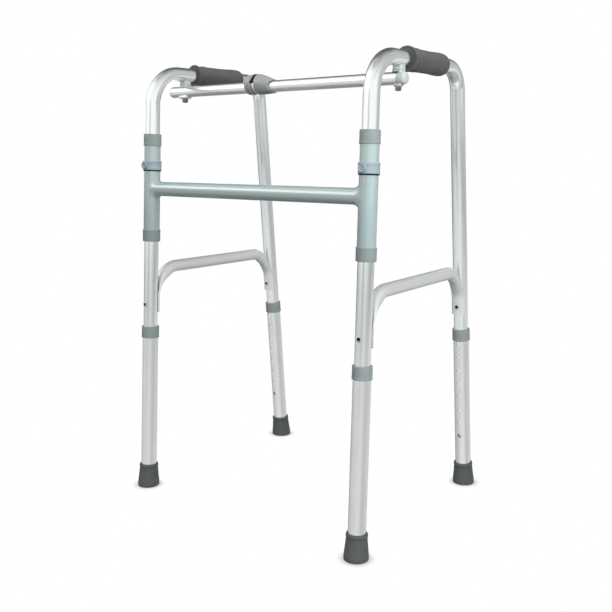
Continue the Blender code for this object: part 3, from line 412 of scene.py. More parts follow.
def drawn_aluminium(name, dark, light, rough, metal=1.0):
    """Anodised tube: fine lines run along it from drawing, with a few faint scuffs."""
    made, tree, shader, skin = finish(name, dark, light, Metallic=metal)
    lines = noise(tree, skin, (0.0009, 0.0009, 0.30), detail=2.0)
    scuffs = noise(tree, skin, (0.012, 0.012, 0.030), detail=5.0, distortion=0.6)
    scuffed = worked(tree, "ADD", spread(tree, lines, *rough), spread(tree, scuffs, 0.0, 0.03, 0.5, 0.8))
    tree.links.new(scuffed, shader.inputs["Roughness"])
    raise_surface(tree, shader, lines, 0.00002, 0.12)
    return made


def enamel(name, dark, light):
    """Glossy stove enamel with a faint orange peel."""
    made, tree, shader, skin = finish(name, dark, light, Metallic=0.0, IOR=1.5,
                                      Coat_Weight=1.0, Coat_Roughness=0.08, Coat_IOR=1.9)
    peel = noise(tree, skin, (0.0022, 0.0022, 0.0022), detail=2.0)
    dust = noise(tree, skin, (0.0006, 0.0006, 0.0006), detail=1.0)
    tree.links.new(spread(tree, dust, 0.26, 0.38), shader.inputs["Roughness"])
    raise_surface(tree, shader, peel, 0.00008, 0.5)
    return made


def moulded(name, dark, light, grain, depth, rough, shine=1.48):
    """Moulded plastic or rubber with a fine eroded grain."""
    made, tree, shader, skin = finish(name, dark, light, Metallic=0.0, IOR=shine)
    fine = noise(tree, skin, (grain, grain, grain), detail=3.0)
    flow = noise(tree, skin, (0.004, 0.004, 0.020), detail=2.0)
    tree.links.new(spread(tree, flow, *rough), shader.inputs["Roughness"])
    raise_surface(tree, shader, fine, depth, 0.8)
    return made


def cast_metal(name, dark, light):
    """A painted casting: small lumps from the mould under a thin even coat."""
    made, tree, shader, skin = finish(name, dark, light, Metallic=0.1, IOR=1.3)
    lumps = noise(tree, skin, (0.0016, 0.0016, 0.0016), detail=4.0)
    rubbed = noise(tree, skin, (0.006, 0.006, 0.006), detail=5.0, distortion=0.8)
    tree.links.new(spread(tree, rubbed, 0.30, 0.46), shader.inputs["Roughness"])
    raise_surface(tree, shader, lumps, 0.00012, 0.6)
    return made


def plated_steel(name, dark, light):
    """Plated steel with turning marks round its axis."""
    made, tree, shader, skin = finish(name, dark, light, Metallic=1.0)
    marks = noise(tree, skin, (0.004, 0.004, 0.00025), detail=2.0)
    tree.links.new(spread(tree, marks, 0.24, 0.42), shader.inputs["Roughness"])
    raise_surface(tree, shader, marks, 0.00003, 0.4)
    return made


BRIGHT_TUBE = drawn_aluminium("bright_tube", (0.825, 0.855, 0.855), (0.875, 0.905, 0.905), rough=(0.18, 0.23))
BAR_TUBE = drawn_aluminium("bar_tube", (0.83, 0.845, 0.845), (0.88, 0.895, 0.895), rough=(0.25, 0.31))
SATIN_TUBE = drawn_aluminium("satin_tube", (0.745, 0.765, 0.762), (0.795, 0.815, 0.812), rough=(0.28, 0.35))
BRACE_TUBE = drawn_aluminium("brace_tube", (0.80, 0.825, 0.825), (0.84, 0.86, 0.86), rough=(0.46, 0.54),
                             metal=0.65)
SLEEVE_ENAMEL = enamel("sleeve_enamel", (0.395, 0.525, 0.52), (0.435, 0.565, 0.56))
CAP_PLASTIC = moulded("cap_plastic", (0.29, 0.347, 0.342), (0.33, 0.387, 0.382),
                      grain=0.0007, depth=0.00004, rough=(0.32, 0.42))
RING_PLASTIC = moulded("ring_plastic", (0.36, 0.45, 0.515), (0.40, 0.49, 0.555),
                       grain=0.0007, depth=0.00004, rough=(0.28, 0.40))
GRIP_VINYL = moulded("grip_vinyl", (0.105, 0.108, 0.105), (0.130, 0.133, 0.130),
                     grain=0.0009, depth=0.00008, rough=(0.42, 0.55), shine=1.28)
FOOT_RUBBER = moulded("foot_rubber", (0.090, 0.101, 0.099), (0.118, 0.130, 0.127),
                      grain=0.0008, depth=0.00010, rough=(0.50, 0.68))
HUB_CASTING = cast_metal("hub_casting", (0.37, 0.38, 0.39), (0.42, 0.43, 0.44))
NECK_METAL = plated_steel("neck_metal", (0.78, 0.79, 0.80), (0.84, 0.85, 0.86))
PIVOT_CASTING = moulded("pivot_casting", (0.60, 0.66, 0.66), (0.66, 0.72, 0.72),
                        grain=0.0009, depth=0.00005, rough=(0.34, 0.44))
# A black used only for painted shade: the dark inside holes and windows and in the gaps under the lock rings
PAINTED_SHADE_BLACK = moulded("painted_shade_black", (0.010, 0.010, 0.011), (0.020, 0.020, 0.021),
                        grain=0.0006, depth=0.00003, rough=(0.50, 0.60), shine=1.15)
DARK_STEEL = plated_steel("dark_steel", (0.10, 0.10, 0.105), (0.20, 0.20, 0.21))
RIVET_STEEL = plated_steel("rivet_steel", (0.55, 0.56, 0.57), (0.65, 0.66, 0.67))


# Meshes

def around(sides, start=0.0):
    """The angles of a ring's points."""
    return [math.tau * (i + start) / sides for i in range(sides)]


def loft(rings, skins=None, closed_way=False, caps=True):
    """A skin through rings of points; a ring of no width closes the form in a point."""
    bm = bmesh.new()
    layer = bm.verts.layers.float_vector.new("skin")
    rows = []
    for ring, patterns in zip(rings, skins or rings):
        row = [bm.verts.new(point) for point in ring]
        for vert, pattern in zip(row, patterns):
            vert[layer] = pattern
        rows.append(row)
    pairs = list(zip(rows, rows[1:]))
    if closed_way:
        pairs.append((rows[-1], rows[0]))
    for row, following in pairs:
        for i in range(len(row)):
            j = (i + 1) % len(row)
            bm.faces.new((row[i], row[j], following[j], following[i]))
    if caps and not closed_way:
        bm.faces.new(rows[0])
        bm.faces.new(rows[-1])
    bmesh.ops.remove_doubles(bm, verts=bm.verts, dist=MERGE_DISTANCE)
    bmesh.ops.recalc_face_normals(bm, faces=bm.faces)
    return bm


def curved(start, corner, end, steps):
    """Points along the curve that leaves start and reaches end as if drawn towards a corner."""
    return [start * (1 - t) ** 2 + corner * (2 * t * (1 - t)) + end * t ** 2
            for t in (step / steps for step in range(steps + 1))]


def softened(profile, closed=False):
    """Rounds the corners of an outline of (radius, height, corner radius) points."""
    count = len(profile)
    out = []
    for i, (x, z, corner) in enumerate(profile):
        here = Vector((x, z))
        if corner == 0.0 or (not closed and i in (0, count - 1)):
            out.append(here)
            continue
        before = Vector(profile[i - 1][:2]) - here
        after = Vector(profile[(i + 1) % count][:2]) - here
        reach = min(corner, 0.45 * before.length, 0.45 * after.length)
        out += curved(here + before.normalized() * reach, here, here + after.normalized() * reach,
                      CORNER_STEPS)
    return out


def turned(profile, closed=False, sides=SIDES):
    """Turns an outline of (radius, height, corner radius) points round Z."""
    rings = [[(point.x * math.cos(turn), point.x * math.sin(turn), point.y) for turn in around(sides)]
             for point in softened(profile, closed)]
    return loft(rings, closed_way=closed, caps=False)


def pipe(inner, outer, bottom, top):
    """A straight tube with softened ends."""
    edge = 0.0003
    return turned([(outer, top, edge), (outer, bottom, edge), (inner, bottom, edge), (inner, top, edge)],
                  closed=True)


def rod(radius, bottom, top, edge=0.0, sides=SMALL_SIDES):
    """A closed cylinder between two heights on Z."""
    return turned([(0.0, top, 0.0), (radius, top, edge), (radius, bottom, edge), (0.0, bottom, 0.0)],
                  sides=sides)


def block(size, corner=0.0, edge=0.0):
    """A box round the origin with rounded upright corners and eased edges."""
    bm = bmesh.new()
    bmesh.ops.create_cube(bm, size=1.0, matrix=Matrix.Diagonal((*size, 1.0)))
    if corner:
        upright = [e for e in bm.edges if abs(e.verts[0].co.z - e.verts[1].co.z) > size[2] / 2]
        bmesh.ops.bevel(bm, geom=upright, offset=corner, segments=8, profile=0.5, affect="EDGES")
    if edge:
        rims = [e for e in bm.edges if e.calc_face_angle(0.0) > EASED_ANGLE]
        bmesh.ops.bevel(bm, geom=rims, offset=edge, segments=3, profile=0.5, affect="EDGES")
    layer = bm.verts.layers.float_vector.new("skin")
    for vert in bm.verts:
        vert[layer] = vert.co
    return bm


def rounded_path(corners, radii):
    """A path through corner points, with each inner corner turned into an arc of its radius."""
    points = [Vector(corners[0])]
    for before, corner, after, radius in zip(corners, corners[1:], corners[2:], radii):
        towards = (before - corner).normalized()
        away = (after - corner).normalized()
        half = towards.angle(away) / 2
        centre = corner + (towards + away).normalized() * (radius / math.sin(half))
        start = corner + towards * (radius / math.tan(half)) - centre
        normal = towards.cross(away).normalized()
        sweep = math.pi - 2 * half
        for i in range(BEND_STEPS + 1):
            points.append(centre + Matrix.Rotation(-sweep * i / BEND_STEPS, 3, normal) @ start)
    points.append(Vector(corners[-1]))
    return points


def moved(bm, place):
    """Moves a bmesh; its pattern stays with it."""
    bmesh.ops.transform(bm, matrix=place, verts=bm.verts)
    return bm


def along_bar(radius, start, end):
    """A closed cylinder between two places on X."""
    return moved(rod(radius, start, end, sides=SIDES), ALONG_X)


def joined(*parts):
    """Puts several bmeshes in one; they stay separate shells."""
    mesh = bpy.data.meshes.new("joining")
    whole = bmesh.new()
    whole.verts.layers.float_vector.new("skin")
    for part in parts:
        part.to_mesh(mesh)
        part.free()
        whole.from_mesh(mesh)
    bpy.data.meshes.remove(mesh)
    return whole


def to_mesh(name, bm):
    """A mesh from a bmesh, which is freed."""
    mesh = bpy.data.meshes.new(name)
    bm.to_mesh(mesh)
    bm.free()
    return mesh


def to_bmesh(mesh):
    """A bmesh from a mesh, which is removed."""
    made = bmesh.new()
    made.from_mesh(mesh)
    bpy.data.meshes.remove(mesh)
    return made


def evaluated(made):
    """The mesh that an object's modifiers give; the object is removed."""
    bpy.context.view_layer.update()
    depsgraph = bpy.context.evaluated_depsgraph_get()
    mesh = bpy.data.meshes.new_from_object(made.evaluated_get(depsgraph))
    bpy.data.objects.remove(made)
    return mesh


def carved(bm, cutters, operation="DIFFERENCE", edge=0.0):
    """Cuts closed shapes out of a shape, or joins them to it, and eases the edges made."""
    body = bpy.data.objects.new("carving", to_mesh("carving", bm))
    bpy.context.scene.collection.objects.link(body)
    group = bpy.data.collections.new("carving_tools")
    tools = []
    for cutter in cutters:
        tool = bpy.data.objects.new("carving_tool", to_mesh("carving_tool", cutter))
        group.objects.link(tool)
        tools.append(tool)
    boolean = body.modifiers.new("carve", "BOOLEAN")
    boolean.operation = operation
    boolean.solver = "EXACT"
    boolean.operand_type = "COLLECTION"
    boolean.collection = group
    if edge:
        ease = body.modifiers.new("ease", "BEVEL")
        ease.width = edge
        ease.segments = 2
        ease.limit_method = "ANGLE"
        ease.angle_limit = EASED_ANGLE
        ease.use_clamp_overlap = True
    mesh = evaluated(body)
    for tool in tools:
        bpy.data.objects.remove(tool)
    bpy.data.collections.remove(group)
    return to_bmesh(mesh)


def piece(name, shape, place, body, material, slot, *nodes):
    """Finishes a piece: its place goes into its mesh, and it rides and stands for CAD nodes."""
    mesh = shape if isinstance(shape, bpy.types.Mesh) else to_mesh(name, shape)
    mesh.name = name
    mesh.transform(place)
    mesh.shade_smooth()
    mesh.set_sharp_from_angle(angle=SHARP_ANGLE)
    mesh.materials.clear()
    mesh.materials.append(material)
    made = bpy.data.objects.new(name, mesh)
    bpy.context.scene.collection.objects.link(made)
    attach(made, body)
    if nodes:
        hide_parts(*nodes)


# Geometry Nodes trees

def new_tree(name, sizes):
    """A tree that takes a geometry and named sizes, and the outputs of its entry."""
    tree = bpy.data.node_groups.new(name, "GeometryNodeTree")
    tree.interface.new_socket("Geometry", in_out="INPUT", socket_type="NodeSocketGeometry")
    for label, value in sizes.items():
        kind = "NodeSocketInt" if isinstance(value, int) else "NodeSocketFloat"
        tree.interface.new_socket(label, in_out="INPUT", socket_type=kind).default_value = value
    tree.interface.new_socket("Finish", in_out="INPUT", socket_type="NodeSocketMaterial")
    tree.interface.new_socket("Geometry", in_out="OUTPUT", socket_type="NodeSocketGeometry")
    return tree, node(tree, "NodeGroupInput").outputs


def end_tree(tree, entry, geometry):
    """Ends a tree in real geometry with its finish."""
    real = node(tree, "GeometryNodeRealizeInstances", {"Geometry": geometry})
    painted = node(tree, "GeometryNodeSetMaterial",
                   {"Geometry": real.outputs[0], "Material": entry["Finish"]})
    node(tree, "NodeGroupOutput", {"Geometry": painted.outputs[0]})
    return tree


def grown(mesh, tree, sizes, material, *modifiers):
    """The mesh that a tree grows from another mesh with these sizes."""
    made = bpy.data.objects.new("growing", mesh)
    bpy.context.scene.collection.objects.link(made)
    grower = made.modifiers.new(tree.name, "NODES")
    grower.node_group = tree
    for item in tree.interface.items_tree:
        if item.in_out == "INPUT" and item.name in sizes:
            grower[item.identifier] = sizes[item.name]
        elif item.in_out == "INPUT" and item.name == "Finish":
            grower[item.identifier] = material
    for kind, values in modifiers:
        extra = made.modifiers.new(kind.lower(), kind)
        for key, value in values.items():
            setattr(extra, key, value)
    return evaluated(made)


def combined(tree, x=0.0, y=0.0, z=0.0):
    """A vector from its three parts."""
    return node(tree, "ShaderNodeCombineXYZ", {0: x, 1: y, 2: z}).outputs[0]


def named(tree, name, kind="FLOAT_VECTOR"):
    """What the points carry under a name."""
    return node(tree, "GeometryNodeInputNamedAttribute", {"Name": name}, data_type=kind).outputs[0]


def stored(tree, geometry, name, value, kind="FLOAT_VECTOR"):
    """Makes the points carry a value under a name."""
    made = node(tree, "GeometryNodeStoreNamedAttribute", {"Geometry": geometry, "Name": name, "Value": value},
                data_type=kind, domain="POINT")
    return made.outputs[0]


def with_skin(tree, geometry):
    """Makes the points carry their places for the material's pattern."""
    return stored(tree, geometry, "skin", node(tree, "GeometryNodeInputPosition").outputs[0])


def cylinder(tree, sides, radius, depth):
    """A closed cylinder round the origin."""
    made = node(tree, "GeometryNodeMeshCylinder", {"Vertices": sides, "Radius": radius, "Depth": depth})
    return made.outputs["Mesh"]


def ball(tree, radius):
    """A round ball at the origin."""
    made = node(tree, "GeometryNodeMeshUVSphere", {"Segments": SMALL_SIDES, "Rings": 16, "Radius": radius})
    return made.outputs["Mesh"]


def placed(tree, geometry, **changes):
    """A geometry moved by its Translation or stretched by its Scale."""
    return node(tree, "GeometryNodeTransform", {"Geometry": geometry, **changes}).outputs[0]


def on_points(tree, points, instance, **changes):
    """A copy of an instance on each point."""
    made = node(tree, "GeometryNodeInstanceOnPoints", {"Points": points, "Instance": instance, **changes})
    return made.outputs[0]


def merged(tree, operation, tools, mesh=None):
    """Cuts tools out of a mesh, or joins them in one."""
    made = node(tree, "GeometryNodeMeshBoolean", {"Mesh 1": mesh} if mesh else None,
                operation=operation, solver="EXACT")
    for tool in tools:
        tree.links.new(tool, made.inputs["Mesh 2"])
    return made.outputs[0]


def bent_tube_tree():
    """A round skin along a path with rounded corners; each corner point carries its bend."""
    tree, entry = new_tree("bent_tube", BENT_TUBE_SIZES)
    path = node(tree, "GeometryNodeMeshToCurve", {"Mesh": entry["Geometry"]})
    bend = named(tree, "bend", "FLOAT")
    rounded = node(tree, "GeometryNodeFilletCurve",
                   {"Curve": path.outputs[0], "Count": entry["Bend Steps"], "Radius": bend}, mode="POLY")
    reach = node(tree, "GeometryNodeSplineParameter").outputs["Length"]
    measured = stored(tree, rounded.outputs[0], "along", reach, "FLOAT")
    circle = node(tree, "GeometryNodeCurvePrimitiveCircle",
                  {"Resolution": entry["Sides"], "Radius": entry["Radius"]}, mode="RADIUS")
    place = node(tree, "GeometryNodeInputPosition").outputs[0]
    section = stored(tree, circle.outputs[0], "round", place)
    tube = node(tree, "GeometryNodeCurveToMesh",
                {"Curve": measured, "Profile Curve": section, "Fill Caps": False})
    split = node(tree, "ShaderNodeSeparateXYZ", {0: named(tree, "round")}).outputs
    skin = combined(tree, split[0], split[1], named(tree, "along", "FLOAT"))
    return end_tree(tree, entry, stored(tree, tube.outputs[0], "skin", skin))


def drilled_tube_tree():
    """A straight tube with a row of holes through one wall."""
    tree, entry = new_tree("drilled_tube", LEG_TUBE_SIZES)
    length = worked(tree, "SUBTRACT", entry["Top"], entry["Bottom"])
    both_ends = worked(tree, "ADD", entry["Top"], entry["Bottom"])
    middle = combined(tree, z=worked(tree, "MULTIPLY", both_ends, 0.5))
    past_both_ends = worked(tree, "ADD", length, 0.02)
    outside, bore = (placed(tree, cylinder(tree, entry["Sides"], entry[radius], depth), Translation=middle)
                     for radius, depth in (("Radius", length), ("Bore", past_both_ends)))
    first = combined(tree, y=entry["Radius"], z=entry["First Hole"])
    step = combined(tree, z=worked(tree, "MULTIPLY", entry["Hole Pitch"], -1.0))
    row = node(tree, "GeometryNodeMeshLine",
               {"Count": entry["Holes"], "Start Location": first, "Offset": step}, mode="OFFSET")
    drill = cylinder(tree, entry["Hole Sides"], entry["Hole Radius"], entry["Radius"])
    drills = on_points(tree, row.outputs[0], drill, Rotation=(math.radians(90), 0.0, 0.0))
    real = node(tree, "GeometryNodeRealizeInstances", {"Geometry": drills}).outputs[0]
    return end_tree(tree, entry, with_skin(tree, merged(tree, "DIFFERENCE", (bore, real), outside)))


def rivets_tree():
    """A domed and dished rivet head on each point, turned to face the way that the point's aim gives."""
    tree, entry = new_tree("rivets", RIVET_SIZES)
    squash = combined(tree, entry["Head Radius"], entry["Head Radius"], entry["Head Height"])
    head = placed(tree, ball(tree, 1.0), Scale=squash)
    rim = cylinder(tree, SMALL_SIDES, entry["Head Radius"], entry["Rim Height"])
    dish = placed(tree, ball(tree, entry["Dish Radius"]), Translation=combined(tree, z=entry["Head Height"]),
                  Scale=(1.0, 1.0, 0.5))
    whole = merged(tree, "DIFFERENCE", (dish,), merged(tree, "UNION", (head, rim)))
    turn = node(tree, "FunctionNodeAlignRotationToVector", {"Vector": named(tree, "aim")}, axis="Z")
    heads = on_points(tree, entry["Geometry"], with_skin(tree, whole), Rotation=turn.outputs[0])
    return end_tree(tree, entry, heads)


def dimpled_sole_tree():
    """Two rings of round dimples pressed up into a foot's sole."""
    tree, entry = new_tree("dimpled_sole", SOLE_SIZES)
    tools = []
    for share in (1.0, 0.5):
        ring = node(tree, "GeometryNodeMeshCircle",
                    {"Vertices": worked(tree, "MULTIPLY", entry["Dimples"], share),
                     "Radius": worked(tree, "MULTIPLY", entry["Ring Radius"], share)})
        dimple = cylinder(tree, 16, entry["Dimple Radius"],
                          worked(tree, "MULTIPLY", entry["Dimple Depth"], 2.0))
        dimples = on_points(tree, ring.outputs[0], dimple)
        tools.append(node(tree, "GeometryNodeRealizeInstances", {"Geometry": dimples}).outputs[0])
    return end_tree(tree, entry, merged(tree, "DIFFERENCE", tools, entry["Geometry"]))


BENT_TUBE = bent_tube_tree()
DRILLED_TUBE = drilled_tube_tree()
RIVETS = rivets_tree()
DIMPLED_SOLE = dimpled_sole_tree()


def path_mesh(corners, bends):
    """A line through corner points that carry the bends to be rounded there."""
    mesh = bpy.data.meshes.new("path")
    mesh.from_pydata(corners, [(i, i + 1) for i in range(len(corners) - 1)], [])
    layer = mesh.attributes.new("bend", "FLOAT", "POINT")
    layer.data.foreach_set("value", [0.0, *bends, 0.0])
    return mesh


# Front frame

def collar(name, radius, wall, bottom, lip_on_top, place, body, stands_for):
    """A collar on a tube's end: a lip that guides the inner tube, a round shoulder and a beaded rim."""
    guide = TUBE_RADIUS + BORE_GAP
    fit = radius + GAP
    outer = fit + wall
    flank = outer - COLLAR_BEAD
    lip = COLLAR_HEIGHT - COLLAR_LIP
    outline = [(guide, COLLAR_HEIGHT, 0.0004), (guide, lip, 0.0), (fit, lip, 0.0), (fit, 0.0, 0.0002),
               (outer, 0.0, 0.0009), (outer, 0.0026, 0.0008), (flank, 0.0036, 0.0008),
               (flank, COLLAR_HEIGHT, 0.0030)]
    if lip_on_top:
        outline = [(x, bottom + z, corner) for x, z, corner in outline]
    else:
        outline = [(x, bottom + COLLAR_HEIGHT - z, corner) for x, z, corner in outline[::-1]]
    piece(name, turned(outline, closed=True), place, body, CAP_PLASTIC, "grey_green_plastic", stands_for)


def weld_fillet():
    """A weld's fillet all round the joint of the crossbar, along X, and an upright sleeve at the origin."""

    def on_sleeve(out, rise, radius):
        """A point of the sleeve's surface, so far outside the crossbar."""
        reach = CROSSBAR_RADIUS + rise
        y = min(abs(reach * out.y), radius * 0.975) * math.copysign(1.0, out.y)
        return Vector((math.sqrt(radius ** 2 - y ** 2), y, reach * out.z))

    rings = []
    for i, turn in enumerate(around(WELD_SIDES)):
        out = Vector((0.0, math.cos(turn), math.sin(turn)))
        ripple = 1.0 + WELD_RIPPLE_SHARE * math.sin(math.tau * i * WELD_RIPPLES / WELD_SIDES)
        corner = on_sleeve(out, 0.0, SLEEVE_RADIUS)
        start = corner + Vector((WELD_ALONG * ripple, 0.0, 0.0))
        end = on_sleeve(out, WELD_AROUND * ripple, SLEEVE_RADIUS)
        control = corner.lerp((start + end) / 2, 0.45)
        rings.append(curved(start, control, end, WELD_STEPS)
                     + [on_sleeve(out, WELD_AROUND * ripple, SLEEVE_RADIUS - WELD_SUNK),
                        on_sleeve(out, -WELD_SUNK, SLEEVE_RADIUS - WELD_SUNK), start - out * WELD_SUNK])
    return loft(rings, closed_way=True)


def crossbar():
    """The crossbar, with the welds that join it to the sleeves."""
    middle = WALKER @ at(0.0, 0.0, CROSSBAR_HEIGHT)
    reach = AXIS_SPACING / 2
    posts, welds = [], []
    for sign in SIGNS.values():
        post = at(sign * reach, 0.0, 0.0)
        posts.append(moved(rod(SLEEVE_RADIUS + POST_GAP, -POST_THROUGH, POST_THROUGH, sides=SIDES), post))
        turn = Matrix.Rotation(math.radians(180 if sign > 0 else 0), 4, "Z")
        welds.append(moved(weld_fillet(), post @ turn))
    tube = moved(pipe(CROSSBAR_RADIUS - TUBE_WALL, CROSSBAR_RADIUS, -reach, reach), ALONG_X)
    piece("crossbar_tube", carved(tube, posts), middle, "front_frame", SLEEVE_ENAMEL, "pale_green_paint",
          "crossbar")
    piece("crossbar_welds", joined(*welds), middle, "front_frame", SLEEVE_ENAMEL, "pale_green_paint")


def sleeve_and_ring(name, sign):
    """What sits on a front leg: a sleeve, two collars, a lock ring with a black band below it that paints the
    ring's shadow, and its peg.
    """
    leg = WALKER @ at(sign * AXIS_SPACING / 2, 0.0, 0.0)
    hole = moved(rod(PEG_WAY_RADIUS, 0.0, THROUGH), at(0.0, 0.0, LOCK_RING_HEIGHT) @ AHEAD)
    sleeve = carved(pipe(LOWER_BORE, SLEEVE_RADIUS, SLEEVE_BOTTOM + COLLAR_LIP + GAP,
                         SLEEVE_TOP - COLLAR_LIP - GAP), [hole])
    piece(name + "_painted_sleeve", sleeve, leg, "front_frame", SLEEVE_ENAMEL, "pale_green_paint",
          name + "_sleeve")
    for level, bottom in (("upper", SLEEVE_TOP - COLLAR_HEIGHT), ("lower", SLEEVE_BOTTOM)):
        collar(f"{name}_{level}_sleeve_cap", SLEEVE_RADIUS, SLEEVE_COLLAR_WALL, bottom, level == "upper", leg,
               "front_frame", f"{name}_{level}_collar")

    place = leg @ at(0.0, 0.0, LOCK_RING_HEIGHT)
    half = LOCK_RING_WIDTH / 2
    bore = SLEEVE_RADIUS + GAP
    outside = bore + LOCK_RING_WALL
    groove = outside - LOCK_RING_GROOVE
    ring = turned([(bore, half, 0.0003), (bore, -half, 0.0003), (outside, -half, 0.0007),
                   (outside, -half * 0.55, 0.0004), (groove, -half * 0.45, 0.0004),
                   (groove, half * 0.45, 0.0004), (outside, half * 0.55, 0.0004), (outside, half, 0.0007)],
                  closed=True)
    slot = moved(block((LOCK_RING_OPENING, 2 * outside, 4 * half), corner=0.003), at(0.0, outside, 0.0))
    ring = carved(ring, [slot, moved(rod(PEG_WAY_RADIUS, 0.0, THROUGH), AHEAD)], edge=0.0002)
    piece(name + "_clip_ring", ring, place, "front_frame", RING_PLASTIC, "blue_grey_plastic",
          name + "_lock_ring")
    # The black band under the ring is painted shadow, the shade in the gap below the ring
    painted_shadow_band = pipe(bore, bore + SHADOW_BAND_WALL, -half - SHADOW_BAND_SHOWN, -half - 0.0001)
    piece(name + "_ring_painted_shadow", painted_shadow_band, place, "front_frame", PAINTED_SHADE_BLACK, "blue_grey_plastic")
    knob = outside + GAP
    peg = turned([(0.0, knob + 0.0028, 0.0), (0.0042, knob + 0.0028, 0.0010), (0.0050, knob + 0.0036, 0.0008),
                  (PEG_KNOB_RADIUS, knob + 0.0034, 0.0014), (PEG_KNOB_RADIUS, knob, 0.0005),
                  (PEG_RADIUS, knob, 0.0), (PEG_RADIUS, LOWER_BORE, 0.0004), (0.0, LOWER_BORE, 0.0)],
                 sides=SMALL_SIDES)
    piece(name + "_round_peg", peg, place @ AHEAD, name + "_peg", RING_PLASTIC, "blue_grey_plastic",
          name + "_lock_peg")


# Side frames

def pressed_profile(narrow=1.0):
    """The brace's pressed end in section, as level distances across and away from the leg's middle."""
    ring = []
    for turn in around(BRACE_SIDES, 0.5):
        reach = TUBE_RADIUS + 2 * GAP + (PRESSED_THICKNESS if math.sin(turn) > 0.0 else 0.0)
        round_leg = PRESSED_WRAP * math.cos(turn) * narrow
        ring.append((reach * math.sin(round_leg), reach * math.cos(round_leg)))
    return ring


def brace_tail(foot, up, inward, rivet):
    """The rings of a brace's pressed end, from its top down to its rounded foot."""
    steps = ((BRACE_TAIL, 1.0), (0.0, 1.0), (0.0025 - BRACE_TAIL, 1.0), (0.0012 - BRACE_TAIL, 0.96),
             (0.0004 - BRACE_TAIL, 0.88), (-BRACE_TAIL, 0.78))
    return [[foot + up * (rivet + step) + inward * away + Vector((across, 0.0, 0.0))
             for across, away in pressed_profile(narrow)] for step, narrow in steps]


def brace_path(offset):
    """The middle line of a side brace, with points close together where its ends are pressed."""
    front_corner = side_point(offset, BRACE_FRONT_HEIGHT)
    rear_corner = rear_leg_point(BRACE_REAR_HEIGHT) + REAR_FORWARD * offset
    front_end = FRONT_UP * (FRONT_RIVET_HEIGHT + BRACE_TAIL) + Vector((0.0, offset, 0.0))
    rear_end = REAR_FOOT + REAR_UP * (REAR_RIVET_HEIGHT + BRACE_TAIL) + REAR_FORWARD * offset
    path = rounded_path([front_end, front_corner, rear_corner, rear_end], [BRACE_FRONT_BEND, BRACE_REAR_BEND])
    count = BRACE_END_STEPS
    return ([path[0].lerp(path[1], i / count) for i in range(count)] + path[1:-1]
            + [path[-2].lerp(path[-1], (i + 1) / count) for i in range(count)])


def brace_shape():
    """A side brace: a bent tube whose two ends are pressed to hug the legs."""
    offset = TUBE_RADIUS + GAP + BRACE_RADIUS
    path = brace_path(offset)
    distances = [0.0]
    for before, point in zip(path, path[1:]):
        distances.append(distances[-1] + (point - before).length)
    rings = []
    for i in range(1, len(path) - 1):
        ahead = (path[i + 1] - path[i - 1]).normalized()
        normal = Vector((0.0, ahead.z, -ahead.y))
        share = max(0.0, 1.0 - distances[i] / PRESSED_IN_FRONT,
                    1.0 - (distances[-1] - distances[i]) / PRESSED_BEHIND)
        pressed = share * share * (3.0 - 2.0 * share)
        ring = []
        for turn, (across, away) in zip(around(BRACE_SIDES, 0.5), pressed_profile()):
            across = across * pressed + BRACE_RADIUS * math.cos(turn) * (1.0 - pressed)
            out = (away - offset) * pressed + BRACE_RADIUS * math.sin(turn) * (1.0 - pressed)
            ring.append(path[i] + Vector((across, 0.0, 0.0)) + normal * out)
        rings.append(ring)
    rings = brace_tail(*LEGS["front"])[::-1] + rings + brace_tail(*LEGS["rear"])
    reach = 0.0
    skins = []
    for before, ring in zip([rings[0]] + rings, rings):
        reach += (sum(ring, Vector()) - sum(before, Vector())).length / BRACE_SIDES
        skins.append([(BRACE_RADIUS * math.cos(turn), BRACE_RADIUS * math.sin(turn), reach)
                      for turn in around(BRACE_SIDES)])
    return loft(rings, skins)


def grip_shape():
    """A moulded handgrip: a thin dished flange in front, a ridge, a slight waist and a swollen rear."""
    length = GRIP_REAR - GRIP_FRONT
    bore = TUBE_RADIUS + GAP
    flange = [(bore, 0.0014, 0.0002), (0.0152, 0.0018, 0.0008), (0.0172, 0.0012, 0.0012),
              (0.0187, 0.0, 0.0008), (0.0203, 0.0010, 0.0014), (0.0203, 0.0042, 0.0009)]
    ridge = [(0.0182, 0.0052, 0.0005), (0.0181, 0.0110, 0.0030), (0.0174, 0.0166, 0.0006),
             (0.0190, 0.0178, 0.0009), (0.0191, 0.0250, 0.0009), (0.0175, 0.0262, 0.0006)]
    waist = [(0.0182, 0.0290, 0.0020), (0.0179, length * 0.62, 0.0220)]
    rear = [(0.0187, length - 0.0260, 0.0080), (0.0191, length - 0.0150, 0.0060),
            (0.0184, length - 0.0050, 0.0040), (0.0168, length - 0.0012, 0.0016), (0.0150, length, 0.0010),
            (bore, length, 0.0)]
    return turned(flange + ridge + waist + rear, closed=True)


def button_shape():
    """A snap button on its leaf spring, with Z towards the hole and X up the leg."""
    radius = HOLE_RADIUS - GAP
    top = TUBE_RADIUS - GAP
    base = top - BUTTON_LENGTH
    button = turned([(0.0, top, 0.0), (radius * 0.6, top - 0.0001, 0.0006), (radius, top - 0.0011, 0.0008),
                     (radius, base, 0.0), (0.0, base, 0.0)], sides=SMALL_SIDES)
    slant = math.atan2(LEAF_DROP, LEAF_LENGTH)
    centre = Vector((-radius + LEAF_LENGTH / 2, 0.0, base - LEAF_DROP / 2 + LEAF_THICKNESS / 2))
    leaf = moved(block((LEAF_LENGTH, LEAF_WIDTH, LEAF_THICKNESS), edge=0.0002),
                 at(*centre) @ Matrix.Rotation(slant, 4, "Y"))
    return carved(button, [leaf], "UNION")


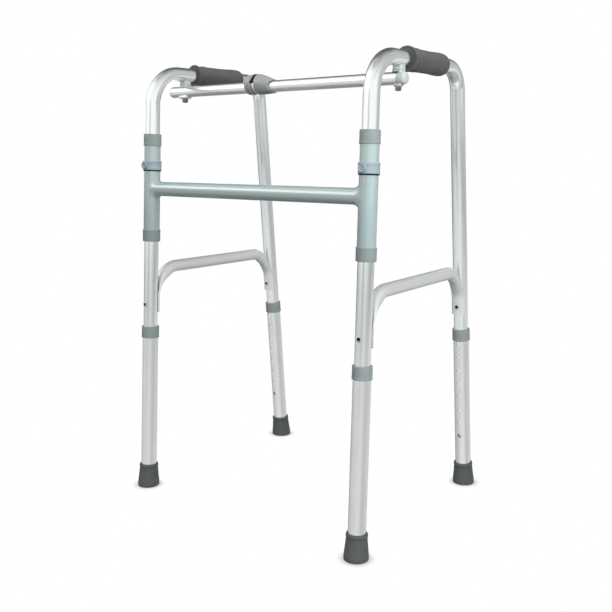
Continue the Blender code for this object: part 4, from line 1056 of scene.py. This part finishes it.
def brace_rivets(name, place, body):
    """The rivets that hold a brace, with a head on each side of the leg and a black disc in each head that
    paints the shade inside its bore.
    """
    points, aims = [], []
    for foot, up, inward, height in LEGS.values():
        for way, reach in ((-1.0, TUBE_RADIUS + GAP), (1.0, TUBE_RADIUS + 2 * GAP + PRESSED_THICKNESS + GAP)):
            points.append(foot + up * height + inward * (way * reach))
            aims.append(inward * way)
    heads = bpy.data.meshes.new("rivet_points")
    heads.from_pydata(points, [], [])
    layer = heads.attributes.new("aim", "FLOAT_VECTOR", "POINT")
    layer.data.foreach_set("vector", [value for aim in aims for value in aim])
    piece(name + "_brace_rivets", grown(heads, RIVETS, RIVET_SIZES, RIVET_STEEL), place, body, RIVET_STEEL,
          "bright_steel", name + "_front_rivet", name + "_rear_rivet")
    # Each black disc is painted shade, standing for the dark inside a rivet's bore
    painted_bore_shades = joined(*[moved(rod(RIVET_BORE_SHADE_RADIUS, -0.0002, 0.0010, 0.0002), facing(point, aim))
                     for point, aim in zip(points, aims)])
    piece(name + "_rivet_bore_painted_shade", painted_bore_shades, place, body, PAINTED_SHADE_BLACK, "bright_steel")


def side_frame(name):
    """A bent tube with its grip, brace and rivets, its bar bracket and its leg buttons."""
    body = name + "_side"
    place = SIDE_PLACES[name]
    corners = [FRONT_UP * UPPER_TUBE_END, side_point(0.0, HANDLE_HEIGHT), rear_leg_point(HANDLE_HEIGHT),
               REAR_FOOT + REAR_UP * UPPER_TUBE_END]
    wall = {"thickness": TUBE_WALL, "offset": -1.0, "use_even_offset": True}
    mesh = grown(path_mesh(corners, [FRONT_BEND, REAR_BEND]), BENT_TUBE, BENT_TUBE_SIZES, BRIGHT_TUBE,
                 ("SOLIDIFY", wall))
    button_ways = [moved(rod(HOLE_RADIUS, TUBE_RADIUS / 2, 2 * TUBE_RADIUS),
                         facing(foot + up * BUTTON_HEIGHT, inward))
                   for foot, up, inward, _ in LEGS.values()]
    piece(name + "_bent_tube", carved(to_bmesh(mesh), button_ways), place, body, BRIGHT_TUBE,
          "satin_aluminium", name + "_side_tube")
    grip_place = place @ facing(side_point(GRIP_FRONT, HANDLE_HEIGHT), HANDLE_BACK)
    piece(name + "_handgrip", grip_shape(), grip_place, body, GRIP_VINYL, "dark_grey_grip", name + "_grip")
    piece(name + "_pressed_brace", brace_shape(), place, body, BRACE_TUBE, "satin_aluminium", name + "_brace")
    brace_rivets(name, place, body)
    for leg, (foot, up, inward, _) in LEGS.items():
        button = f"{name}_{leg}_button"
        piece(f"{name}_{leg}_snap_button", button_shape(),
              place @ facing(foot + up * BUTTON_HEIGHT, inward, side=up), button, RIVET_STEEL, "bright_steel",
              button)
    bracket_and_bolt(name, body, place @ at(0.0, PIVOT_SETBACK, 0.0))


def bracket_and_bolt(name, body, pivot):
    """The block under the handle, with the bar's bolt and nut.

    On the left the bolt is in two lengths, and its lower length and the nut ride with the bar.
    """
    bottom = BAR_LEVEL + SEAM_LEVEL + GAP
    half = BLOCK_WIDTH / 2
    top = HANDLE_OVER_PIVOT - math.sqrt(TUBE_RADIUS ** 2 - half ** 2) + BRACKET_WRAP
    shape = moved(block((BLOCK_WIDTH, BLOCK_DEPTH, top - bottom), corner=BRACKET_CORNER),
                  at(0.0, 0.0, (top + bottom) / 2))
    tube_space = moved(rod(TUBE_RADIUS + GAP, -THROUGH, THROUGH, sides=SIDES),
                       facing((0.0, 0.0, HANDLE_OVER_PIVOT), HANDLE_BACK))
    bolt_space = rod(BOLT_WAY_RADIUS, bottom - 0.01, top + 0.01)
    piece(name + "_handle_bracket", carved(shape, [tube_space, bolt_space], edge=0.0002), pivot, body,
          PIVOT_CASTING, "pale_green_paint", name + "_bracket")
    head = HANDLE_OVER_PIVOT - math.sqrt((TUBE_RADIUS - TUBE_WALL) ** 2 - BOLT_HEAD_RADIUS ** 2) + 2 * GAP
    nut_top = BAR_LEVEL - BAR_RADIUS - WASHER_THICKNESS - GAP
    nut_bottom = nut_top - NUT_HEIGHTS[name]
    tail = nut_bottom - BOLT_TAIL
    end = tail if name == "right" else bottom
    bolt = turned([(0.0, head + BOLT_HEAD_HEIGHT, 0.0), (BOLT_HEAD_RADIUS, head + BOLT_HEAD_HEIGHT, 0.0012),
                   (BOLT_HEAD_RADIUS, head, 0.0003), (BOLT_RADIUS, head, 0.0),
                   (BOLT_RADIUS, end + 0.0004, 0.0003), (BOLT_RADIUS - 0.0004, end, 0.0), (0.0, end, 0.0)],
                  sides=SMALL_SIDES)
    piece(name + "_bracket_bolt", bolt, pivot, body, DARK_STEEL, "dark_steel", name + "_bolt")
    nut_body = body
    nut_place = pivot
    if name == "left":
        nut_body = "left_bar"
        nut_place = WALKER @ at(LEFT_PIVOT.x, LEFT_PIVOT.y, 0.0)
        stub = rod(BOLT_RADIUS, tail, BAR_LEVEL + SEAM_LEVEL, 0.0003)
        piece("left_bar_bolt", stub, nut_place, nut_body, DARK_STEEL, "dark_steel", "left_bolt_end")
    nut = turned([(NUT_BORE, nut_bottom, 0.0), (NUT_RADIUS, nut_bottom, 0.0),
                  (NUT_RADIUS, nut_top - 0.0010, 0.0), (NUT_RADIUS, nut_top, 0.0), (NUT_BORE, nut_top, 0.0)],
                 closed=True, sides=6)
    dome = turned([(0.0062, nut_top + 0.001, 0.0), (0.0062, nut_bottom + 0.0012, 0.0),
                   (0.0046, nut_bottom - 0.0001, 0.0), (0.0, nut_bottom - 0.0001, 0.0),
                   (0.0, nut_top + 0.001, 0.0)], closed=True, sides=SMALL_SIDES)
    piece(name + "_lock_nut", carved(nut, [dome], "INTERSECT"), nut_place, nut_body, DARK_STEEL, "dark_steel",
          name + "_nut")


# Upper bar

def bolt_way():
    """The room for the bolt through the bar, on Z."""
    return rod(BOLT_WAY_RADIUS, -BOLT_THROUGH, BOLT_THROUGH)


def bar_tube(name, pivot, start, end):
    """The tube of half the bar, drilled for its bolt."""
    tube = moved(pipe(BAR_RADIUS - TUBE_WALL, BAR_RADIUS, start, end), ALONG_X)
    piece(name + "_half_bar", carved(tube, [bolt_way()]), WALKER @ at(*pivot), name + "_bar", BAR_TUBE,
          "satin_aluminium", name + "_bar_tube")


def bar_end(x, outwards):
    """The place of the bar's end, with Z out of it."""
    return at(x + outwards * GAP, 0.0, 0.0) @ facing(ORIGIN, (outwards, 0.0, 0.0), side=(0.0, 0.0, 1.0))


def saddle_block():
    """The block that stands on the bar at its pivot, before it is hollowed for the bar."""
    bottom = BAR_RADIUS - SADDLE_DROP
    return moved(block((BLOCK_WIDTH, BLOCK_DEPTH, SEAM_LEVEL - bottom), corner=SADDLE_CORNER),
                 at(0.0, 0.0, (SEAM_LEVEL + bottom) / 2))


def washer(name, pivot, material):
    """A boat-shaped washer under the bar, hollowed to fit it."""
    length, width = WASHER_SIZES[name]
    rings = []
    for height, share in ((-BAR_RADIUS + WASHER_WRAP, 1.0), (-BAR_RADIUS, 1.0),
                          (-BAR_RADIUS - 0.0020, 0.86), (-BAR_RADIUS - WASHER_THICKNESS, 0.60)):
        x = length / 2 * share
        y = width / 2 * (1.0 + share) / 2
        corner = 0.0030 * share
        ring = []
        for first, sx, sy in ((180, -1, -1), (270, 1, -1), (0, 1, 1), (90, -1, 1)):
            for step in range(6):
                turn = math.radians(first + 15 * step)
                ring.append(Vector((sx * (x - corner) + corner * math.cos(turn),
                                    sy * (y - corner) + corner * math.sin(turn), height)))
        rings.append(ring)
    shape = carved(loft(rings), [along_bar(BAR_RADIUS + GAP, -THROUGH, THROUGH), bolt_way()], edge=0.0003)
    piece(name + "_boat_washer", shape, WALKER @ at(*pivot), name + "_bar", material, "pale_green_paint",
          name + "_washer")


def left_bar():
    """The left half of the bar, with a domed plug in its end and a saddle and washer at its pivot."""
    origin = WALKER @ at(*LEFT_PIVOT)
    bar_tube("left", LEFT_PIVOT, -LEFT_OVERHANG, HUB_FROM_LEFT_PIVOT - (HUB_BAR_ENDS + 2 * GAP))
    spigot = BAR_RADIUS - TUBE_WALL - GAP
    dome = [(BAR_RADIUS * math.sin(math.radians(turn)), PLUG_DOME * math.cos(math.radians(turn)), 0.0)
            for turn in range(0, 91, 9)]
    plug = turned(dome + [(BAR_RADIUS, 0.0, 0.0), (spigot, 0.0, 0.0), (spigot, -PLUG_SPIGOT, 0.0),
                          (0.0, -PLUG_SPIGOT, 0.0)])
    piece("left_end_plug", plug, origin @ bar_end(-LEFT_OVERHANG, -1.0), "left_bar", BAR_TUBE,
          "satin_aluminium", "left_bar_plug")
    saddle = carved(saddle_block(), [along_bar(BAR_RADIUS + GAP, -THROUGH, THROUGH), bolt_way()], edge=0.0002)
    piece("left_pivot_saddle", saddle, origin, "left_bar", PIVOT_CASTING, "pale_green_paint",
          "left_bar_saddle")
    washer("left", LEFT_PIVOT, SATIN_TUBE)


def right_bar():
    """The right half of the bar, with a cap that is plug and saddle in one, a vent in it filled with a black
    plug that paints the vent's shade, and a washer.
    """
    origin = WALKER @ at(*RIGHT_PIVOT)
    bar_tube("right", RIGHT_PIVOT, (HUB_POINT - RIGHT_PIVOT).x + HUB_BAR_ENDS + 2 * GAP, CAP_START - GAP)
    spigot = BAR_RADIUS - TUBE_WALL - GAP
    start = CAP_START - RIGHT_OVERHANG - GAP
    shell = [(0.0, PLUG_DOME, 0.0), (BAR_RADIUS - 0.0045, PLUG_DOME - 0.0006, 0.0020),
             (BAR_RADIUS - 0.0010, PLUG_DOME - 0.0024, 0.0020), (BAR_RADIUS, PLUG_DOME - 0.0056, 0.0020),
             (BAR_RADIUS, start, 0.0004), (spigot, start, 0.0), (spigot, start - PLUG_SPIGOT, 0.0004),
             (0.0, start - PLUG_SPIGOT, 0.0)]
    cap = carved(moved(turned(shell), bar_end(RIGHT_OVERHANG, 1.0)), [saddle_block()], "UNION")
    tube_inside = along_bar(BAR_RADIUS - 0.0002, -THROUGH, THROUGH)
    tube_space = carved(along_bar(BAR_RADIUS + GAP, -BOLT_THROUGH, CAP_START), [tube_inside])
    vent = facing((0.0050, -0.0040, -BAR_RADIUS), (0.0, -0.4, -1.0))
    vent_way = moved(rod(VENT_RADIUS + 0.0001, -0.0030, 0.0100), vent)
    piece("right_end_cap", carved(cap, [tube_space, bolt_way(), vent_way], edge=0.0003), origin, "right_bar",
          PIVOT_CASTING, "pale_green_paint", "right_bar_plug", "right_bar_saddle")
    # The black plug in the vent is painted shade, standing for the dark inside the hole
    piece("right_cap_vent_painted_shade", rod(VENT_RADIUS, -0.0030, 0.0004), origin @ vent, "right_bar", PAINTED_SHADE_BLACK,
          "pale_green_paint")
    washer("right", RIGHT_PIVOT, PIVOT_CASTING)


def knuckles(reach, levels):
    """Hinge barrels behind the hub, with the arms that tie them to a hub piece."""
    made = []
    setback = Vector((0.0, HUB_SETBACK, HUB_RISE))
    depth = HUB_SETBACK - KNUCKLE_ARM_START
    for bottom, top in levels:
        made.append(moved(rod(KNUCKLE_RADIUS, bottom, top, 0.0004), at(*setback)))
        middle = setback + Vector((reach / 2, -depth / 2, (top + bottom) / 2))
        made.append(moved(block((abs(reach), depth, top - bottom), edge=0.0004), at(*middle)))
    return made


def hub_casting(outline, levels, bar_from, bar_to):
    """A hub piece with its knuckles, bored for the pin and the bar and cut for the window."""
    rise = at(0.0, 0.0, HUB_RISE)
    reach = math.copysign(KNUCKLE_ARM, bar_to)
    casting = carved(moved(turned(outline), rise @ ALONG_X), knuckles(reach, levels), "UNION")
    pin_way = moved(rod(PIN_WAY_RADIUS, -PIN_THROUGH, PIN_THROUGH), at(0.0, HUB_SETBACK, HUB_RISE))
    bar_way = along_bar(BAR_RADIUS + GAP, min(bar_from, bar_to), max(bar_from, bar_to))
    window = moved(block(WINDOW_SIZE, corner=0.0015),
                   rise @ Matrix.Rotation(WINDOW_TURN, 4, "X") @ at(0.0, 0.0, HUB_RADIUS))
    return carved(casting, [pin_way, bar_way, window], edge=0.0003)


def hub():
    """The bar's hub: a ringed left piece, a right core hinged behind it, black sheets in the windows that
    paint the shade inside them, and the pin.
    """
    origin = WALKER @ at(*HUB_POINT)
    middle = KNUCKLE_WIDTH / 2
    outer = middle + GAP + KNUCKLE_WIDTH
    neck = HUB_NECK_RADIUS
    left = -HUB_NECK
    far_left = left - HUB_RING_WIDTH
    groove = HUB_RADIUS - HUB_GROOVE
    ring = hub_casting([(0.0, -GAP, 0.0), (neck, -GAP, 0.0), (neck, left, 0.0), (HUB_RADIUS, left, 0.0010),
                        (HUB_RADIUS, left - 0.0040, 0.0004), (groove, left - 0.0044, 0.0003),
                        (groove, left - 0.0080, 0.0003), (HUB_RADIUS, left - 0.0084, 0.0004),
                        (HUB_RADIUS, far_left, 0.0018), (0.0, far_left, 0.0)],
                       [(-outer, -middle - GAP), (middle + GAP, outer)], -HUB_BAR_ENDS, 2 * far_left)
    piece("hub_ring_casting", ring, origin, "left_bar", HUB_CASTING, "mid_grey_casting", "hub_ring")
    core = hub_casting([(0.0, HUB_CORE, 0.0), (neck, HUB_CORE, 0.0006), (neck, GAP, 0.0), (0.0, GAP, 0.0)],
                       [(-middle, middle)], HUB_BAR_ENDS, 2 * HUB_CORE)
    piece("hub_core_casting", core, origin, "right_bar", NECK_METAL, "mid_grey_casting", "hub_core")
    # A black sheet in each window is painted shade, standing for the dark inside the hub
    low, high = WINDOW_SHADE_SHEET
    for side, sign in SIGNS.items():
        painted_shade_sheet = moved(block((high - low, 0.0196, 0.0060), edge=0.0003),
                      at(0.0, 0.0, HUB_RISE) @ Matrix.Rotation(WINDOW_TURN, 4, "X")
                      @ at(sign * (low + high) / 2, 0.0, 0.0124))
        piece(side + "_window_painted_shade", painted_shade_sheet, origin, side + "_bar", PAINTED_SHADE_BLACK, "mid_grey_casting")
    end = [(0.0, outer + 0.0006, 0.0), (0.0014, outer + 0.0004, 0.0004), (PIN_RADIUS, outer, 0.0002)]
    other_end = [(radius, -height, corner) for radius, height, corner in end[::-1]]
    pin = turned(end + other_end, sides=SMALL_SIDES)
    piece("hinge_pin", pin, WALKER @ at(*HINGE_POINT), "right_bar", RIVET_STEEL, "dark_steel", "hub_pin")


def cone_sleeve():
    """The sleeve that slides over the hub's core: an eccentric cone with a round cut in its thin end."""
    shoulder = CONE_START + 0.0010
    end = CONE_START + CONE_LENGTH
    stations = [(CONE_START, 0.0170, HUB_RISE), (CONE_START + 0.0003, 0.0174, HUB_RISE),
                (shoulder, CONE_RADIUS, HUB_RISE)]
    for t in (0.15, 0.3, 0.45, 0.6, 0.75, 0.9, 1.0):
        stations.append((shoulder + (end - shoulder) * t,
                         CONE_RADIUS + (CONE_END_RADIUS - CONE_RADIUS) * t ** 1.25,
                         HUB_RISE * (1.0 - t ** 1.1)))
    rings = [[(x, radius * math.cos(turn), rise + radius * math.sin(turn)) for turn in around(SIDES)]
             for x, radius, rise in stations]
    skins = [[(y, z, x) for x, y, z in ring] for ring in rings]
    core_way = moved(along_bar(HUB_NECK_RADIUS + BORE_GAP, 0.0, HUB_CORE + GAP), at(0.0, 0.0, HUB_RISE))
    end_cut = moved(rod(CONE_CUT_RADIUS, -CONE_THROUGH, CONE_THROUGH, sides=SIDES),
                    at(end + CONE_CUT_RADIUS - CONE_CUT_DEPTH, 0.0, 0.0) @ facing(ORIGIN, (0.0, 1.0, 0.0)))
    sleeve = carved(loft(rings, skins), [along_bar(BAR_RADIUS + BORE_GAP, 0.0, 2 * end), core_way, end_cut],
                    edge=0.0003)
    piece("hub_cone_sleeve", sleeve, WALKER @ at(*HUB_POINT), "hub_slider", HUB_CASTING, "mid_grey_casting",
          "hub_sleeve")


# Lower legs

def foot_shape(lean):
    """A rubber foot, turned round its leg and cut flat by the floor, with a dimpled sole."""
    socket = LOWER_RADIUS + GAP
    inside = [(0.0, FOOT_FLOOR, 0.0), (socket, FOOT_FLOOR, 0.0), (socket, FOOT_HEIGHT, 0.0004)]
    rim = [(0.0165, FOOT_HEIGHT, 0.0012), (FOOT_RIM_RADIUS, 0.0385, 0.0020),
           (FOOT_RIM_RADIUS, 0.0368, 0.0012), (0.0166, 0.0352, 0.0012)]
    flare = [(0.0168, 0.0330, 0.0020), (0.0178, 0.0220, 0.0060), (0.0192, 0.0095, 0.0030),
             (FOOT_BOTTOM_RADIUS, 0.0070, 0.0012), (FOOT_BOTTOM_RADIUS, -0.0060, 0.0), (0.0, -0.0060, 0.0)]
    bm = moved(turned(inside + rim + flare), lean)
    cut = bmesh.ops.bisect_plane(bm, geom=bm.verts[:] + bm.edges[:] + bm.faces[:], plane_co=ORIGIN,
                                 plane_no=(0.0, 0.0, -1.0), clear_outer=True)
    loop = [e for e in cut["geom_cut"] if isinstance(e, bmesh.types.BMEdge)]
    sole = bmesh.ops.contextual_create(bm, geom=loop)["faces"]
    bmesh.ops.recalc_face_normals(bm, faces=bm.faces)
    edges = [e for face in sole for e in face.edges]
    bmesh.ops.bevel(bm, geom=edges, offset=FOOT_EDGE, segments=3, profile=0.5, affect="EDGES")
    return grown(to_mesh("foot", bm), DIMPLED_SOLE, SOLE_SIZES, FOOT_RUBBER)


def lower_leg(name, leg):
    """An adjustable lower leg: a drilled tube with a collar on top and a rubber foot."""
    body = f"{name}_{leg}_leg"
    foot, up, _, _ = LEGS[leg]
    place = SIDE_PLACES[name] @ facing(foot, up)
    turn = Matrix.Rotation(math.radians(180), 4, "Z") if leg == "rear" else Matrix()
    tube = grown(bpy.data.meshes.new("empty"), DRILLED_TUBE, LEG_TUBE_SIZES, SATIN_TUBE)
    piece(f"{name}_{leg}_drilled_tube", tube, place @ turn, body, SATIN_TUBE, "satin_aluminium",
          body + "_tube")
    collar(body + "_cap", LOWER_RADIUS, LEG_COLLAR_WALL, LEG_COLLAR_TOP - COLLAR_HEIGHT, True, place, body,
           body + "_collar")
    spot = place.translation.copy()
    spot.z = 0.0
    piece(f"{name}_{leg}_rubber_foot", foot_shape(at(*-spot) @ place), at(*spot), body, FOOT_RUBBER,
          "dark_grey_rubber", f"{name}_{leg}_foot")


# Stage, light and camera

def white_floor():
    """A floor as white as the world behind it, darker where something stands on it.

    The camera sees the white world through it, dimmed close to the feet, and so still sees the end of
    a leg that is drawn out below it. No shiny surface sees it, and it throws little light back up.
    """
    bm = bmesh.new()
    bmesh.ops.create_circle(bm, cap_ends=True, segments=96, radius=FLOOR_RADIUS)
    floor = bpy.data.objects.new("floor", to_mesh("floor", bm))
    bpy.context.scene.collection.objects.link(floor)
    paper = bpy.data.materials.new("white_paper")
    paper.use_nodes = True
    tree = paper.node_tree
    shader = tree.nodes["Principled BSDF"]
    shader.inputs["Base Color"].default_value = (FLOOR_BOUNCE, FLOOR_BOUNCE, FLOOR_BOUNCE, 1.0)
    shader.inputs["Roughness"].default_value = 0.9
    shader.inputs["Specular IOR Level"].default_value = 0.0
    ways = node(tree, "ShaderNodeLightPath").outputs
    open_sky = node(tree, "ShaderNodeAmbientOcclusion", {"Distance": FLOOR_SHADE_REACH}, samples=24)
    dimmed = node(tree, "ShaderNodeBsdfTransparent", {"Color": open_sky.outputs["Color"]})
    clear = node(tree, "ShaderNodeBsdfTransparent")
    camera_sees = node(tree, "ShaderNodeMixShader",
                       {0: ways["Is Camera Ray"], 1: shader.outputs[0], 2: dimmed.outputs[0]})
    mixed = node(tree, "ShaderNodeMixShader",
                 {0: ways["Is Glossy Ray"], 1: camera_sees.outputs[0], 2: clear.outputs[0]})
    tree.links.new(mixed.outputs[0], tree.nodes["Material Output"].inputs["Surface"])
    floor.data.materials.append(paper)


def grey_ramp(tree, value, stops):
    """A grey level that follows a value through stops of (place, level)."""
    made = node(tree, "ShaderNodeValToRGB", {"Fac": value})
    points = made.color_ramp.elements
    while len(points) < len(stops):
        points.new(0.5)
    for point, (place, level) in zip(points, stops):
        point.position = place
        point.color = (level, level, level, 1.0)
    return made.outputs["Color"]


def studio():
    """White for the eye, an even level for plain surfaces, and panels and dark gaps for shiny ones."""
    world = bpy.data.worlds.new("studio")
    bpy.context.scene.world = world
    world.use_nodes = True
    tree = world.node_tree
    ways = node(tree, "ShaderNodeLightPath").outputs
    direction = node(tree, "ShaderNodeTexCoord").outputs["Generated"]
    split = node(tree, "ShaderNodeSeparateXYZ", {0: direction}).outputs
    bearing = spread(tree, worked(tree, "ARCTAN2", split[1], split[0]), 0.0, 1.0, -math.pi, math.pi)
    rise = worked(tree, "ARCSINE", split[2])
    glossy = None
    for start, end, row in ROOM:
        level = grey_ramp(tree, bearing, [((angle + 180) / 360, grey) for angle, grey in row])
        if glossy is None:
            glossy = level
        else:
            share = spread(tree, rise, 0.0, 1.0, math.radians(start), math.radians(end))
            glossy = blend_colours(tree, share, glossy, level)
    sight = worked(tree, "MAXIMUM", ways["Is Camera Ray"], ways["Is Transmission Ray"])
    plain = blend_colours(tree, spread(tree, rise, 0.0, 1.0, -0.5, 1.0), (ROOM_LOW,) * 3, (ROOM_HIGH,) * 3)
    plain = blend_colours(tree, sight, plain, (1.0, 1.0, 1.0))
    tree.links.new(blend_colours(tree, ways["Is Glossy Ray"], plain, glossy),
                   tree.nodes["Background"].inputs["Color"])


def lamps():
    """Soft panels in front, at the right, weakly at the left and overhead; shiny surfaces see none."""
    for name, power, width, height, spot, aim in LAMPS:
        lamp = bpy.data.lights.new(name, "AREA")
        lamp.shape = "RECTANGLE"
        lamp.energy = power
        lamp.size = width
        lamp.size_y = height
        holder = bpy.data.objects.new(name, lamp)
        holder.location = spot
        holder.rotation_euler = (Vector(aim) - Vector(spot)).to_track_quat("-Z", "Y").to_euler()
        holder.visible_glossy = False
        bpy.context.scene.collection.objects.link(holder)


def camera():
    """A camera that sees the walker as the photograph does."""
    lens = bpy.data.cameras.new("camera")
    lens.sensor_width = 36.0
    lens.lens = FOCAL_LENGTH / PICTURE_SIDE * lens.sensor_width
    lens.shift_x = PICTURE_SHIFT[0] / PICTURE_SIDE
    lens.shift_y = PICTURE_SHIFT[1] / PICTURE_SIDE
    holder = bpy.data.objects.new("camera", lens)
    x, y, z = CAMERA_SPOT
    holder.location = (x + MIDDLE_SHIFT, y, z)
    holder.rotation_euler = CAMERA_TURN
    bpy.context.scene.collection.objects.link(holder)
    bpy.context.scene.camera = holder
    bpy.context.scene.view_settings.view_transform = "Standard"


crossbar()
for side_name, side_sign in SIGNS.items():
    sleeve_and_ring(side_name, side_sign)
for side_name in SIGNS:
    side_frame(side_name)
    for leg_name in LEGS:
        lower_leg(side_name, leg_name)
left_bar()
right_bar()
hub()
cone_sleeve()
white_floor()
studio()
lamps()
camera()
